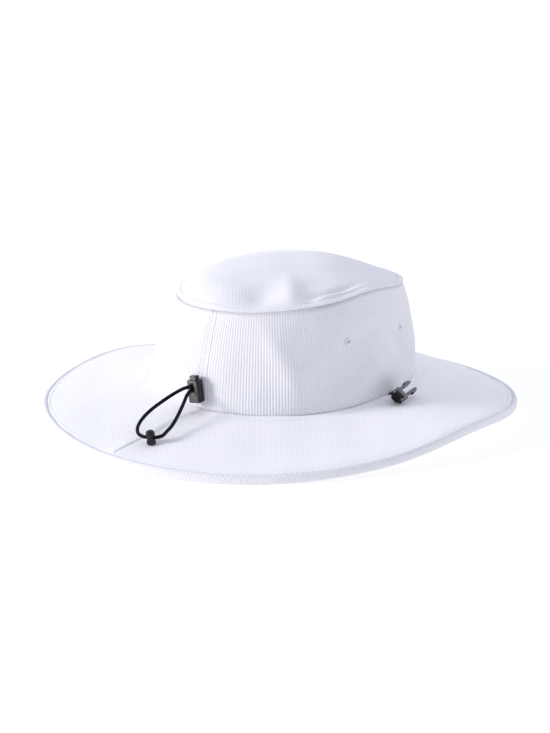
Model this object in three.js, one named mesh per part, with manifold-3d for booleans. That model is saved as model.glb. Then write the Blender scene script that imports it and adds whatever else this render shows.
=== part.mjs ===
// A wide-brimmed fabric sun hat standing on a surface.
// Millimetres, +Z up, +Y towards the back of the hat, origin under the middle of the brim.
import * as THREE from 'three';
import { mergeVertices } from 'three/addons/utils/BufferGeometryUtils.js';
import Module from 'manifold-3d';

const wasm = await Module();
wasm.setup();

// Crown: half axes of its oval at the lower seam, and what the tables below take shares of.
const crownHalfWidth = 84;
const crownHalfLength = 99;
const seamHeight = 31.2;
const wallHeight = 72;
const topInset = 15;
const domeRise = 21;
const wallThickness = 2;
const tipThickness = 2;
const wallFold = 4;
const tipFold = 6;
const wallBulgePower = 2.2;
const domePower = 2.3;

// Brim and its turned-down rim.
const brimReach = 76;
const brimThickness = 2.4;
const edgeLift = 14;
const brimWave = 1.6;
const brimDroopPower = 1.12;
const rimThickness = 3.2;
const rimDrop = 6.2;

// Vent eyelets: an embroidered ring that lines a small hole through the wall.
const ventHoleRadius = 0.9;
const ventBarrelWall = 0.7;
const ventRingRadius = 2.5;
const ventRingHeight = 0.6;
const ventSides = 14;

// Cord lock beside the back seam: a hollow body with a sprung button in its top.
const lockWidth = 9;
const lockDepth = 7.4;
const lockHeight = 15.2;
const lockRounding = 1.8;
const lockChamfer = 0.6;
const lockAngle = 93.6;
const lockRise = 5.3;
const lockLean = 7;
const buttonWidth = 5.6;
const buttonDepth = 4.4;
const buttonRounding = 1.1;
const buttonChamfer = 0.4;
const buttonStandOut = 2.8;
const buttonTravel = 1.8;
const buttonSeat = 1.4;

// Elastic cord, its two strands one above the other in the lock, and the stopper on it.
const cordDiameter = 2.4;
const cordSpacing = 2.9;
const cordRise = 10.2;
const cordSides = 8;
const cordSteps = 42;
const stopperRadius = 3.1;
const stopperHeight = 9.4;
const stopperSides = 20;
const stopperAngle = 93.8;
const stopperOut = 54.5;
const stopperTurn = 200;

// Side clips: small two-armed plugs, each held by a tape at the crown's lower seam.
const clipLength = 24;
const clipWidth = 10;
const clipThickness = 3;
const clipRounding = 1.4;
const clipChamfer = 0.4;
const clipBar = 3.4;
const clipSlot = 2.6;
const clipRail = 1.6;
const clipBody = 4.2;
const clipArm = 2.1;
const clipBarb = 1.2;
const clipOut = 14.4;
const clipRoll = 42;
const clipPitch = 7;
const clipYaw = 6.5;
const tapeWidth = 5.6;
const tapeThickness = 0.9;
const tapeTurn = 3;

// Clearances between pieces that are sewn or fitted together.
const seamGap = 0.3;
const fitGap = 0.3;
const restGap = 0.4;

// How finely the round pieces are cut into flats.
const crownSteps = 76;
const brimSteps = 92;
const wallRows = 7;
const tipRows = 6;
const brimRows = 5;

const cloth = { color: 0xf1f3fa, roughness: 0.95, metalness: 0 };
const shadedCloth = { color: 0xe9ecf7, roughness: 0.95, metalness: 0 };
const thread = { color: 0xf6f7fb, roughness: 0.8, metalness: 0 };
const blackPlastic = { color: 0x15151a, roughness: 0.35, metalness: 0 };
const blackElastic = { color: 0x101014, roughness: 0.9, metalness: 0 };

// Sections round the hat, every 30 degrees from the +X side towards the back at 90.
// seam, wall, inset, reach and lift are shares of seamHeight, wallHeight, topInset,
// brimReach and edgeLift: the lower seam's height, the wall's height, how far the top seam
// stands in, the brim's width, and how high the rim stands off the surface.
const sections = [
  { seam: 1.00, wall: 0.80, inset: 0.88, reach: 0.89, lift: 1.00 },
  { seam: 0.97, wall: 0.81, inset: 0.96, reach: 0.94, lift: 0.82 },
  { seam: 0.89, wall: 0.83, inset: 1.03, reach: 0.98, lift: 0.66 },
  { seam: 0.79, wall: 0.88, inset: 1.01, reach: 1.00, lift: 0.25 },
  { seam: 0.73, wall: 0.91, inset: 0.95, reach: 0.95, lift: 0.00 },
  { seam: 0.72, wall: 0.95, inset: 0.88, reach: 0.91, lift: 0.28 },
  { seam: 0.79, wall: 0.99, inset: 0.78, reach: 0.89, lift: 0.88 },
  { seam: 0.85, wall: 0.90, inset: 0.64, reach: 0.89, lift: 0.43 },
  { seam: 0.90, wall: 0.84, inset: 0.61, reach: 0.86, lift: 0.04 },
  { seam: 0.95, wall: 0.80, inset: 0.64, reach: 0.82, lift: 0.00 },
  { seam: 0.99, wall: 0.78, inset: 0.71, reach: 0.83, lift: 0.00 },
  { seam: 1.01, wall: 0.78, inset: 0.79, reach: 0.87, lift: 0.30 },
];

// Soft folds of the wall. angle and spread are degrees round the crown, rise and height
// are shares of the wall's height, lean is degrees of drift over the wall's height, and
// depth is a share of wallFold, in from the plain wall.
const wallFolds = [
  { angle: 158, rise: 0.30, spread: 11, height: 0.30, lean: -22, depth: 0.95 },
  { angle: 141, rise: 0.50, spread: 7, height: 0.60, lean: -18, depth: -0.30 },
  { angle: 193, rise: 0.42, spread: 7, height: 0.22, lean: 20, depth: 0.70 },
  { angle: 178, rise: 0.30, spread: 4, height: 0.25, lean: 30, depth: -0.30 },
  { angle: 198, rise: 0.61, spread: 8, height: 0.17, lean: 0, depth: 0.40 },
  { angle: 38, rise: 0.45, spread: 16, height: 0.30, lean: 0, depth: -0.35 },
  { angle: 300, rise: 0.45, spread: 20, height: 0.35, lean: 12, depth: 0.70 },
  { angle: 345, rise: 0.40, spread: 12, height: 0.30, lean: -15, depth: 0.45 },
];

// Soft dents of the tip. out is a share of the way from its middle to its seam, run is
// that share's spread, and depth is a share of tipFold, down from the plain dome.
const tipFolds = [
  { angle: 118, out: 0.80, spread: 12, run: 0.16, depth: 0.55 },
  { angle: 136, out: 0.78, spread: 8, run: 0.20, depth: -0.35 },
  { angle: 152, out: 0.76, spread: 11, run: 0.13, depth: 0.75 },
  { angle: 153, out: 0.92, spread: 8, run: 0.06, depth: -0.30 },
  { angle: 225, out: 0.75, spread: 35, run: 0.30, depth: 0.60 },
  { angle: 45, out: 0.65, spread: 40, run: 0.30, depth: -0.35 },
  { angle: 300, out: 0.55, spread: 30, run: 0.25, depth: 0.25 },
];

// Slow waves of the brim. out is a share of its reach, and depth a share of brimWave.
const brimFolds = [
  { angle: 75, out: 0.55, spread: 14, run: 0.35, depth: 0.60 },
  { angle: 105, out: 0.60, spread: 12, run: 0.30, depth: -0.50 },
  { angle: 140, out: 0.55, spread: 16, run: 0.35, depth: 0.60 },
  { angle: 175, out: 0.60, spread: 14, run: 0.30, depth: -0.60 },
  { angle: 215, out: 0.55, spread: 16, run: 0.35, depth: 0.50 },
  { angle: 285, out: 0.60, spread: 22, run: 0.35, depth: -0.60 },
  { angle: 340, out: 0.55, spread: 18, run: 0.35, depth: 0.60 },
];

// Outline of the rim's section, going round it: out is a share of rimThickness away from
// the brim, and down a share of rimDrop below the brim's edge.
const rimOutline = [
  { out: 0.16, down: 0.92 },
  { out: 0.45, down: 1.00 },
  { out: 0.80, down: 0.97 },
  { out: 1.00, down: 0.78 },
  { out: 1.00, down: 0.36 },
  { out: 0.76, down: 0.06 },
  { out: 0.32, down: 0.00 },
  { out: 0.00, down: 0.12 },
];

// The four vents: degrees round the crown, and a share of the wall's height.
const vents = [
  { name: 'eyelet_left_front', angle: 342, rise: 0.60 },
  { name: 'eyelet_left_back', angle: 18.4, rise: 0.64 },
  { name: 'eyelet_right_back', angle: 161.6, rise: 0.64 },
  { name: 'eyelet_right_front', angle: 198, rise: 0.60 },
];

// The two clips: degrees round the crown, and which way round their arms point forwards.
const clips = [
  { name: 'side_clip_left', tape: 'clip_tape_left', angle: 359.5, side: -1 },
  { name: 'side_clip_right', tape: 'clip_tape_right', angle: 180.5, side: 1 },
];

// The stopper's outline from its flared base to its domed top, as shares of
// stopperRadius and stopperHeight.
const stopperOutline = [
  { radius: 0.00, height: 0.00 },
  { radius: 0.90, height: 0.00 },
  { radius: 1.00, height: 0.07 },
  { radius: 0.93, height: 0.24 },
  { radius: 0.78, height: 0.44 },
  { radius: 0.78, height: 0.56 },
  { radius: 0.92, height: 0.66 },
  { radius: 0.94, height: 0.82 },
  { radius: 0.72, height: 0.95 },
  { radius: 0.00, height: 1.00 },
];

// Route of the cord's centre line, out of the lock's upper opening, round through the
// stopper and back into its lower opening, in millimetres from the crown's middle.
const cordRoute = [
  [-3.92, 99.7, 41.22],
  [-4.15, 102.9, 41.22],
  [-4.43, 106.6, 41.22],
  [-3.7, 109.3, 41.0],
  [-0.6, 111.2, 39.6],
  [3.8, 114.2, 36.6],
  [7.6, 123.0, 32.0],
  [9.2, 133.0, 27.8],
  [8.2, 142.5, 23.9],
  [4.9, 149.8, 21.0],
  [-0.2, 154.6, 19.3],
  [-5.9, 155.7, 18.6],
  [-10.1, 154.2, 18.85],
  [-14.3, 152.6, 19.1],
  [-16.0, 149.4, 19.8],
  [-15.0, 144.5, 20.9],
  [-14.0, 138.5, 22.9],
  [-11.9, 130.2, 27.0],
  [-7.9, 119.5, 32.4],
  [-5.6, 112.8, 36.6],
  [-4.9, 109.2, 38.1],
  [-4.78, 106.56, 38.34],
  [-4.51, 102.87, 38.34],
  [-4.27, 99.68, 38.34],
];

const radians = THREE.MathUtils.degToRad;

// A section value at any angle, on a smooth closed curve through the table's rows.
function around(column, angle) {
  const place = THREE.MathUtils.euclideanModulo(angle, 360) / 360 * sections.length;
  const row = Math.floor(place);
  const share = place - row;
  const at = (step) => sections[(row + step + sections.length) % sections.length][column];
  const [before, here, next, after] = [at(-1), at(0), at(1), at(2)];
  const slope = (next - before) / 2;
  const nextSlope = (after - here) / 2;
  const cubic = 2 * (here - next) + slope + nextSlope;
  const square = 3 * (next - here) - 2 * slope - nextSlope;
  return ((cubic * share + square) * share + slope) * share + here;
}

// How deep the folds of a table go at an angle and a share across the panel.
function foldDepth(folds, angle, share, middle, run) {
  let depth = 0;
  for (const fold of folds) {
    const drift = (fold.lean ?? 0) * (share - fold[middle]);
    const turn = THREE.MathUtils.euclideanModulo(angle - fold.angle + drift + 180, 360) - 180;
    const across = (share - fold[middle]) / fold[run];
    depth += fold.depth * Math.exp(-((turn / fold.spread) ** 2) - across * across);
  }
  return depth;
}

// The crown's lower oval, and the level direction pointing straight out of it.
function ovalPoint(angle, out, z) {
  const x = Math.cos(radians(angle));
  const y = Math.sin(radians(angle));
  const outward = new THREE.Vector3(x / crownHalfWidth, y / crownHalfLength, 0).normalize();
  return new THREE.Vector3(crownHalfWidth * x, crownHalfLength * y, z).addScaledVector(outward, out);
}

function outwardAt(angle) {
  return ovalPoint(angle, 1, 0).sub(ovalPoint(angle, 0, 0));
}

// Lower seam's height. The rim's lowest point stands on the surface.
const seamZ = (angle) => seamHeight * around('seam', angle);
const edgeZ = (angle) => rimDrop + edgeLift * around('lift', angle);
const topSeamZ = (angle) => seamZ(angle) + wallHeight * around('wall', angle);

// A point of the crown's wall: rise 0 at the lower seam and 1 at the top one.
function wallPoint(angle, rise, depth) {
  const fold = wallFold * foldDepth(wallFolds, angle, rise, 'rise', 'height') * Math.sin(Math.PI * rise);
  const inset = topInset * around('inset', angle) * rise ** wallBulgePower;
  const low = seamZ(angle) + seamGap;
  const high = topSeamZ(angle) - tipThickness - seamGap;
  return ovalPoint(angle, -inset - fold - depth, THREE.MathUtils.lerp(low, high, rise));
}

// A point of the tip's dome: out 0 in its middle and 1 at its seam.
const turns = (count) => Array.from({ length: count }, (_, i) => (360 * i) / count);
const middleZ = turns(sections.length).reduce((sum, angle) => sum + topSeamZ(angle), 0) / sections.length
  + domeRise;

function tipPoint(angle, out, depth) {
  const seam = wallPoint(angle, 1, 0);
  const fall = out ** domePower;
  const fade = 1 - out ** 8;
  const dent = tipFold * foldDepth(tipFolds, angle, out, 'out', 'run') * fade;
  const z = THREE.MathUtils.lerp(middleZ, topSeamZ(angle), fall) - dent - depth;
  return new THREE.Vector3(seam.x * out, seam.y * out, z);
}

// A point of the brim's upper face: out 0 under the crown's wall and 1 at the rim.
function brimPoint(angle, out, depth) {
  const reach = brimReach * around('reach', angle);
  const share = Math.max(0, THREE.MathUtils.lerp(-wallThickness, reach, out)) / reach;
  const wave = brimWave * foldDepth(brimFolds, angle, share, 'out', 'run') * Math.sin(Math.PI * share);
  const z = THREE.MathUtils.lerp(seamZ(angle), edgeZ(angle), share ** brimDroopPower) - wave;
  return ovalPoint(angle, THREE.MathUtils.lerp(-wallThickness, reach, out), z - depth);
}

// A point of the rim's outline.
function rimPoint(angle, row) {
  const out = brimReach * around('reach', angle) + seamGap + rimThickness * row.out;
  return ovalPoint(angle, out, edgeZ(angle) - rimDrop * row.down);
}

function surface(points, faces) {
  const geometry = new THREE.BufferGeometry();
  geometry.setAttribute('position', new THREE.Float32BufferAttribute(points.flatMap((p) => [p.x, p.y, p.z]), 3));
  geometry.setIndex(faces);
  geometry.computeVertexNormals();
  return geometry;
}

// A closed ring through sections of equal length, each going round anticlockwise when
// seen with the way out of the hat to the right.
function ring(rings) {
  const size = rings[0].length;
  const faces = [];
  rings.forEach((_, i) => {
    const here = i * size;
    const next = ((i + 1) % rings.length) * size;
    for (let j = 0; j < size; j += 1) {
      const k = (j + 1) % size;
      faces.push(here + j, next + j, here + k, here + k, next + j, next + k);
    }
  });
  return surface(rings.flat(), faces);
}

// A loft from one end section to the other, with both ends closed by a fan.
function loft(rings) {
  const size = rings[0].length;
  const faces = [];
  for (let i = 0; i + 1 < rings.length; i += 1) {
    for (let j = 0; j < size; j += 1) {
      const [a, b] = [i * size + j, i * size + (j + 1) % size];
      faces.push(a, b, a + size, b, b + size, a + size);
    }
  }
  const last = (rings.length - 1) * size;
  for (let j = 1; j + 1 < size; j += 1) {
    faces.push(0, j + 1, j, last, last + j, last + j + 1);
  }
  return surface(rings.flat(), faces);
}

const shares = (count) => Array.from({ length: count + 1 }, (_, i) => i / count);

function wallGeometry() {
  const rises = shares(wallRows);
  return ring(turns(crownSteps).map((angle) => [
    ...rises.map((rise) => wallPoint(angle, rise, 0)),
    ...rises.toReversed().map((rise) => wallPoint(angle, rise, wallThickness)),
  ]));
}

function tipGeometry() {
  const outs = shares(tipRows).slice(1);
  const rows = [
    ...outs.toReversed().map((out) => turns(crownSteps).map((angle) => tipPoint(angle, out, tipThickness))).toReversed(),
    ...outs.toReversed().map((out) => turns(crownSteps).map((angle) => tipPoint(angle, out, 0))),
  ];
  const points = [...rows.flat(), tipPoint(0, 0, tipThickness), tipPoint(0, 0, 0)];
  const under = points.length - 2;
  const over = points.length - 1;
  const last = (rows.length - 1) * crownSteps;
  const faces = [];
  for (let j = 0; j < crownSteps; j += 1) {
    const k = (j + 1) % crownSteps;
    faces.push(under, k, j, over, last + j, last + k);
    for (let i = 0; i + 1 < rows.length; i += 1) {
      const [here, next] = [i * crownSteps, (i + 1) * crownSteps];
      faces.push(here + j, here + k, next + j, here + k, next + k, next + j);
    }
  }
  return surface(points, faces);
}

function brimGeometry() {
  const outs = shares(brimRows);
  return ring(turns(brimSteps).map((angle) => [
    ...outs.map((out) => brimPoint(angle, out, brimThickness)),
    ...outs.toReversed().map((out) => brimPoint(angle, out, 0)),
  ]));
}

function rimGeometry() {
  return ring(turns(brimSteps).map((angle) => rimOutline.map((row) => rimPoint(angle, row))));
}

// A block standing on its base, with rounded corners and chamfered ends.
function block(width, depth, height, rounding, chamfer) {
  const [x, y] = [width / 2, depth / 2];
  const outline = new THREE.Shape();
  outline.moveTo(x, rounding - y);
  outline.lineTo(x, y - rounding);
  outline.quadraticCurveTo(x, y, x - rounding, y);
  outline.lineTo(rounding - x, y);
  outline.quadraticCurveTo(-x, y, -x, y - rounding);
  outline.lineTo(-x, rounding - y);
  outline.quadraticCurveTo(-x, -y, rounding - x, -y);
  outline.lineTo(x - rounding, -y);
  outline.quadraticCurveTo(x, -y, x, rounding - y);
  return slab(outline, height, chamfer);
}

function slab(outline, height, chamfer) {
  const geometry = new THREE.ExtrudeGeometry(outline, {
    depth: height - 2 * chamfer,
    curveSegments: 4,
    bevelEnabled: chamfer > 0,
    bevelThickness: chamfer,
    bevelSize: chamfer,
    bevelOffset: -chamfer,
    bevelSegments: 1,
  });
  return geometry.translate(0, 0, chamfer);
}

// A solid for cutting, from a closed geometry moved by a matrix.
function solid(geometry, matrix = new THREE.Matrix4()) {
  const shape = new THREE.BufferGeometry();
  shape.setAttribute('position', geometry.getAttribute('position').clone());
  shape.setIndex(geometry.getIndex());
  const merged = mergeVertices(shape.applyMatrix4(matrix));
  return new wasm.Manifold(new wasm.Mesh({
    numProp: 3,
    vertProperties: merged.getAttribute('position').array,
    triVerts: new Uint32Array(merged.getIndex().array),
  }));
}

function geometryOf(cut) {
  const mesh = cut.getMesh();
  const geometry = new THREE.BufferGeometry();
  geometry.setAttribute('position', new THREE.BufferAttribute(mesh.vertProperties, 3));
  geometry.setIndex(new THREE.BufferAttribute(mesh.triVerts, 1));
  geometry.computeVertexNormals();
  return geometry;
}

const shift = (x, y, z) => new THREE.Matrix4().makeTranslation(x, y, z);
const standing = new THREE.Matrix4().makeRotationX(Math.PI / 2);

// A frame whose z points out of the wall at a vent.
function ventFrame({ angle, rise }) {
  const step = 0.02;
  const here = wallPoint(angle, rise, 0);
  const along = wallPoint(angle + 1, rise, 0).sub(wallPoint(angle - 1, rise, 0)).normalize();
  const upwards = wallPoint(angle, rise + step, 0).sub(wallPoint(angle, rise - step, 0));
  const out = along.clone().cross(upwards).normalize();
  return new THREE.Matrix4().makeBasis(along, out.clone().cross(along), out).setPosition(here);
}

const ventBarrelRadius = ventHoleRadius + ventBarrelWall;

function ventGeometry() {
  const outside = restGap;
  const inside = -wallThickness - restGap;
  const outline = [
    [ventHoleRadius, inside - ventRingHeight],
    [ventRingRadius, inside - ventRingHeight],
    [ventRingRadius, inside],
    [ventBarrelRadius, inside],
    [ventBarrelRadius, outside],
    [ventRingRadius, outside],
    [ventRingRadius - ventRingHeight / 2, outside + ventRingHeight],
    [ventHoleRadius, outside + ventRingHeight],
    [ventHoleRadius, inside - ventRingHeight],
  ];
  const turned = new THREE.LatheGeometry(outline.map(([r, y]) => new THREE.Vector2(r, y)), ventSides);
  return turned.applyMatrix4(standing);
}

// The wall with its four vent holes.
function crownSideGeometry() {
  let wall = solid(wallGeometry());
  const length = 4 * wallThickness;
  const drill = new THREE.CylinderGeometry(
    ventBarrelRadius + fitGap, ventBarrelRadius + fitGap, length, ventSides).applyMatrix4(standing);
  for (const vent of vents) {
    wall = wall.subtract(solid(drill, ventFrame(vent)));
  }
  return geometryOf(wall);
}

// Cord lock. Its frame has x along the wall, y out of the hat and z up, at its base.
function lockFrame() {
  const out = outwardAt(lockAngle);
  const along = out.clone().cross(new THREE.Vector3(0, 0, 1));
  const base = ovalPoint(lockAngle, fitGap + lockDepth / 2, seamZ(lockAngle) + lockRise);
  return new THREE.Matrix4().makeBasis(along, out, new THREE.Vector3(0, 0, 1)).setPosition(base)
    .multiply(new THREE.Matrix4().makeRotationY(radians(lockLean)));
}

const cordBore = cordDiameter + 2 * fitGap;

// A cutter for the cord's two strands, going through from back to front.
function strandCutter(above) {
  const tall = cordSpacing + cordBore + above;
  const cutter = block(cordBore, tall, 2 * lockDepth, cordBore / 3, 0);
  return solid(cutter, shift(0, lockDepth, cordRise + above / 2).multiply(standing));
}

function lockBodyGeometry() {
  const pocketDepth = lockHeight - buttonSeat;
  const pocket = block(
    buttonWidth + 2 * fitGap, buttonDepth + 2 * fitGap, 2 * pocketDepth, buttonRounding, 0);
  const body = block(lockWidth, lockDepth, lockHeight, lockRounding, lockChamfer);
  return geometryOf(solid(body)
    .subtract(solid(pocket, shift(0, 0, buttonSeat)))
    .subtract(strandCutter(0)));
}

// The button's window is taller than the strands by its travel, so that pressing it
// lets them go.
function lockButtonGeometry() {
  const low = buttonSeat + fitGap + buttonTravel;
  const high = lockHeight + buttonStandOut;
  const stem = block(buttonWidth, buttonDepth, high - low, buttonRounding, buttonChamfer);
  return geometryOf(solid(stem, shift(0, 0, low)).subtract(strandCutter(buttonTravel)));
}

// Stopper. Its frame has z along the brim's normal and x along the cord through it.
function stopperFrame() {
  const share = (stopperOut + wallThickness) / (brimReach * around('reach', stopperAngle) + wallThickness);
  const here = brimPoint(stopperAngle, share, 0);
  const inwards = brimPoint(stopperAngle, share - 0.05, 0).sub(brimPoint(stopperAngle, share + 0.05, 0));
  const sideways = brimPoint(stopperAngle + 2, share, 0).sub(brimPoint(stopperAngle - 2, share, 0));
  const up = sideways.cross(inwards).normalize();
  const cord = new THREE.Vector3(Math.cos(radians(stopperTurn)), Math.sin(radians(stopperTurn)), 0);
  const across = up.clone().cross(cord).normalize();
  return new THREE.Matrix4().makeBasis(across.clone().cross(up), across, up)
    .setPosition(here.addScaledVector(up, restGap));
}

function stopperGeometry() {
  const outline = stopperOutline.map(
    ({ radius, height }) => new THREE.Vector2(stopperRadius * radius, stopperHeight * height));
  const bell = new THREE.LatheGeometry(outline, stopperSides).applyMatrix4(standing);
  const drill = new THREE.CylinderGeometry(cordBore / 2, cordBore / 2, 3 * stopperRadius, ventSides);
  const sideways = shift(0, 0, stopperHeight / 2).multiply(new THREE.Matrix4().makeRotationZ(Math.PI / 2));
  return geometryOf(solid(bell).subtract(solid(drill, sideways)));
}

function cordGeometry() {
  const path = new THREE.CatmullRomCurve3(cordRoute.map((point) => new THREE.Vector3(...point)));
  const corners = Array.from({ length: cordSides }, (_, i) => {
    const turn = (2 * Math.PI * i) / cordSides;
    return new THREE.Vector2(cordDiameter / 2 * Math.cos(turn), cordDiameter / 2 * Math.sin(turn));
  });
  const section = new THREE.Shape(corners);
  return new THREE.ExtrudeGeometry(section, { extrudePath: path, steps: cordSteps, bevelEnabled: false });
}

// Side clip. Its frame is at its middle, with x along its arms and z out of its face.
const clipEnd = -clipLength / 2;
const clipBarMiddle = clipEnd + clipBar / 2;
const clipSlotEnd = clipEnd + clipBar + clipSlot;
const clipArmStart = clipSlotEnd + clipBody;

function clipFrame({ angle, side }) {
  const out = outwardAt(angle);
  const forwards = new THREE.Vector3(-out.y, out.x, 0).multiplyScalar(side);
  const across = out.clone().multiplyScalar(-side);
  const lift = clipWidth / 2 * Math.sin(radians(clipRoll)) + clipThickness / 2 * Math.cos(radians(clipRoll))
    + clipLength / 2 * Math.sin(radians(clipPitch)) + fitGap;
  const reach = brimReach * around('reach', angle);
  const share = (clipOut + wallThickness) / (reach + wallThickness);
  const middle = brimPoint(angle, share, 0);
  middle.z += lift;
  return new THREE.Matrix4().makeBasis(forwards, across, new THREE.Vector3(0, 0, 1)).setPosition(middle)
    .multiply(new THREE.Matrix4().makeRotationZ(radians(side * clipYaw)))
    .multiply(new THREE.Matrix4().makeRotationY(-radians(clipPitch)))
    .multiply(new THREE.Matrix4().makeRotationX(radians(side * clipRoll)));
}

function clipGeometry() {
  const half = clipWidth / 2;
  const tip = clipLength / 2;
  const inner = half - clipBarb - clipArm;
  const arm = tip - clipArmStart;
  const side = [
    [clipEnd, 0],
    [clipEnd, half - clipRounding],
    [clipEnd + clipRounding / 3, half - clipRounding / 3],
    [clipEnd + clipRounding, half],
    [clipArmStart - clipRounding, half],
    [clipArmStart, half - clipBarb],
    [clipArmStart + arm * 0.45, half - clipBarb],
    [clipArmStart + arm * 0.55, half],
    [clipArmStart + arm * 0.80, half - clipBarb / 3],
    [tip, half - clipBarb - clipArm / 3],
    [tip, half - clipBarb - clipArm * 2 / 3],
    [clipArmStart + arm * 0.75, inner],
    [clipArmStart + clipRounding / 2, inner],
    [clipArmStart, inner - clipRounding / 2],
  ];
  const mirrored = side.slice(1).toReversed().map(([x, y]) => [x, -y]);
  const outline = new THREE.Shape([...side, ...mirrored].map(([x, y]) => new THREE.Vector2(x, y)));
  const plate = solid(slab(outline, clipThickness, clipChamfer), shift(0, 0, -clipThickness / 2));
  const slot = block(clipSlot, clipWidth - 2 * clipRail, 2 * clipThickness, clipSlot / 6, 0);
  return geometryOf(plate.subtract(solid(slot, shift(clipSlotEnd - clipSlot / 2, 0, -clipThickness))));
}

// The tape: out of the crown's seam, under the clip, round its bar and down its slot.
// along and away are shares of the tape's distance from the bar's middle.
const tapeWrap = [
  { along: 1.05, away: -1.15 },
  { along: 0.00, away: -1.10 },
  { along: -0.82, away: -0.86 },
  { along: -1.05, away: 0.00 },
  { along: -0.82, away: 0.86 },
  { along: 0.00, away: 1.05 },
  { along: 0.96, away: 0.96 },
  { along: 1.12, away: 0.20 },
  { along: 1.12, away: -0.25 },
];

function tapeGeometry(clip) {
  const frame = clipFrame(clip);
  const [alongUnit, acrossUnit, faceUnit] = [0, 1, 2].map((i) => new THREE.Vector3().setFromMatrixColumn(frame, i));
  const clear = fitGap + tapeThickness / 2;
  const [reachAlong, reachAway] = [clipBar / 2 + clear, clipThickness / 2 + clear];
  const wrap = tapeWrap.map(({ along, away }, i) => {
    const centre = new THREE.Vector3(clipBarMiddle + reachAlong * along, 0, reachAway * away).applyMatrix4(frame);
    const before = tapeWrap[Math.max(i - 1, 0)];
    const after = tapeWrap[Math.min(i + 1, tapeWrap.length - 1)];
    const run = new THREE.Vector2(
      reachAlong * (after.along - before.along), reachAway * (after.away - before.away)).normalize();
    const face = alongUnit.clone().multiplyScalar(-run.y).addScaledVector(faceUnit, run.x);
    return { centre, across: acrossUnit, face };
  });
  const seamAngle = clip.angle + clip.side * tapeTurn;
  const onBrim = (angle, out) => {
    const share = (out + wallThickness) / (brimReach * around('reach', angle) + wallThickness);
    const point = brimPoint(angle, share, 0);
    point.z += restGap + tapeThickness / 2;
    return point;
  };
  const start = onBrim(seamAngle, restGap);
  const bend = onBrim(seamAngle, clipOut / 3);
  const out = outwardAt(seamAngle);
  const seamwise = new THREE.Vector3(-out.y, out.x, 0).multiplyScalar(clip.side);
  const up = new THREE.Vector3(0, 0, -1);
  const half = acrossUnit.clone().multiplyScalar(-1).add(seamwise).normalize();
  const stations = [
    { centre: start, across: seamwise, face: up },
    { centre: bend, across: seamwise, face: up },
    ...wrap.map((station) => ({ ...station, across: station.across.clone().multiplyScalar(-1) })),
  ];
  stations.splice(2, 0, {
    centre: bend.clone().lerp(wrap[0].centre, 0.5),
    across: half,
    face: up.clone().add(wrap[0].face).normalize(),
  });
  return loft(stations.map(({ centre, across, face }) => [[1, 1], [1, -1], [-1, -1], [-1, 1]].map(
    ([w, t]) => centre.clone()
      .addScaledVector(across, w * tapeWidth / 2)
      .addScaledVector(face, t * tapeThickness / 2))));
}

const hat = new THREE.Group();

function piece(name, geometry, material, frame = new THREE.Matrix4()) {
  const mesh = new THREE.Mesh(geometry, new THREE.MeshStandardMaterial(material));
  mesh.name = name;
  mesh.applyMatrix4(frame);
  hat.add(mesh);
  return mesh;
}

piece('crown_side', crownSideGeometry(), cloth);
piece('crown_tip', tipGeometry(), cloth);
piece('brim', brimGeometry(), cloth);
const rim = piece('brim_rim', rimGeometry(), shadedCloth);
for (const vent of vents) {
  piece(vent.name, ventGeometry(), thread, ventFrame(vent));
}
piece('cord_lock_body', lockBodyGeometry(), blackPlastic, lockFrame());
piece('cord_lock_button', lockButtonGeometry(), blackPlastic, lockFrame());
piece('drawcord', cordGeometry(), blackElastic);
piece('cord_stopper', stopperGeometry(), blackPlastic, stopperFrame());
for (const clip of clips) {
  piece(clip.name, clipGeometry(), blackPlastic, clipFrame(clip));
  piece(clip.tape, tapeGeometry(clip), blackElastic);
}

// The rim's lowest point stands on the surface, and the origin is under its middle.
const rimBox = new THREE.Box3().setFromObject(rim);
const rimMiddle = rimBox.getCenter(new THREE.Vector3());
hat.position.set(-rimMiddle.x, -rimMiddle.y, -rimBox.min.z);

export default hat;
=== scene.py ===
# %% [markdown]
# # A white knit sun hat
# The construction model gives every piece its real size and place. This lesson dresses it:
# the cloth gets its ribs, seams and stitches, the cord its braid, and the small black
# fittings their gloss. Lengths are in metres, +Z is up and +Y is the back of the hat.

# %% Load the construction model as a fixed frame
import math

import bmesh
import bpy
import numpy as np
from mathutils import Matrix, Vector


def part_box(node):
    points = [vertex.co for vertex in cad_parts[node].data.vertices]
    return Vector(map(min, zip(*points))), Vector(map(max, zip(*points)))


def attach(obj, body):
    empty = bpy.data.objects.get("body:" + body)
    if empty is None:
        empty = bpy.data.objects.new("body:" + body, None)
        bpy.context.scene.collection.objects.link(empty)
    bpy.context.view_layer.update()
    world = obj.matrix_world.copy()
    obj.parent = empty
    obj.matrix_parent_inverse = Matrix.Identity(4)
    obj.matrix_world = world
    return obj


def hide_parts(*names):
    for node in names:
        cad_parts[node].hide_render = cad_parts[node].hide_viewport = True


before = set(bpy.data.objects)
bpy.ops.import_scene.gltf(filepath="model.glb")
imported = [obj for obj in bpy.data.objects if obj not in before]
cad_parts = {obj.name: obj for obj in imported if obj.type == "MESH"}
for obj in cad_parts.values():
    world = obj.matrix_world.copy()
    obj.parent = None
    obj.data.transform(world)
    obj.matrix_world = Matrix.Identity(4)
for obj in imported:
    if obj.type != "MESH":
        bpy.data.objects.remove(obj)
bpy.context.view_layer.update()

# %% [markdown]
# ## Camera
# A long lens far away keeps the brim's ellipse nearly free of perspective. The camera looks
# from behind the wearer's right shoulder, a little above the brim, so that the back seam,
# the cord and one side clip all show.

# %% Place the camera
VIEW_TURN = math.radians(218.1)
VIEW_RISE = math.radians(15.0)
VIEW_DISTANCE = 1.5
LENS_MM = 106.9
AIM = Vector((0, -0.0068, 0.0595))
AIM_RIGHT, AIM_UP = -0.0079, -0.0270


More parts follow.
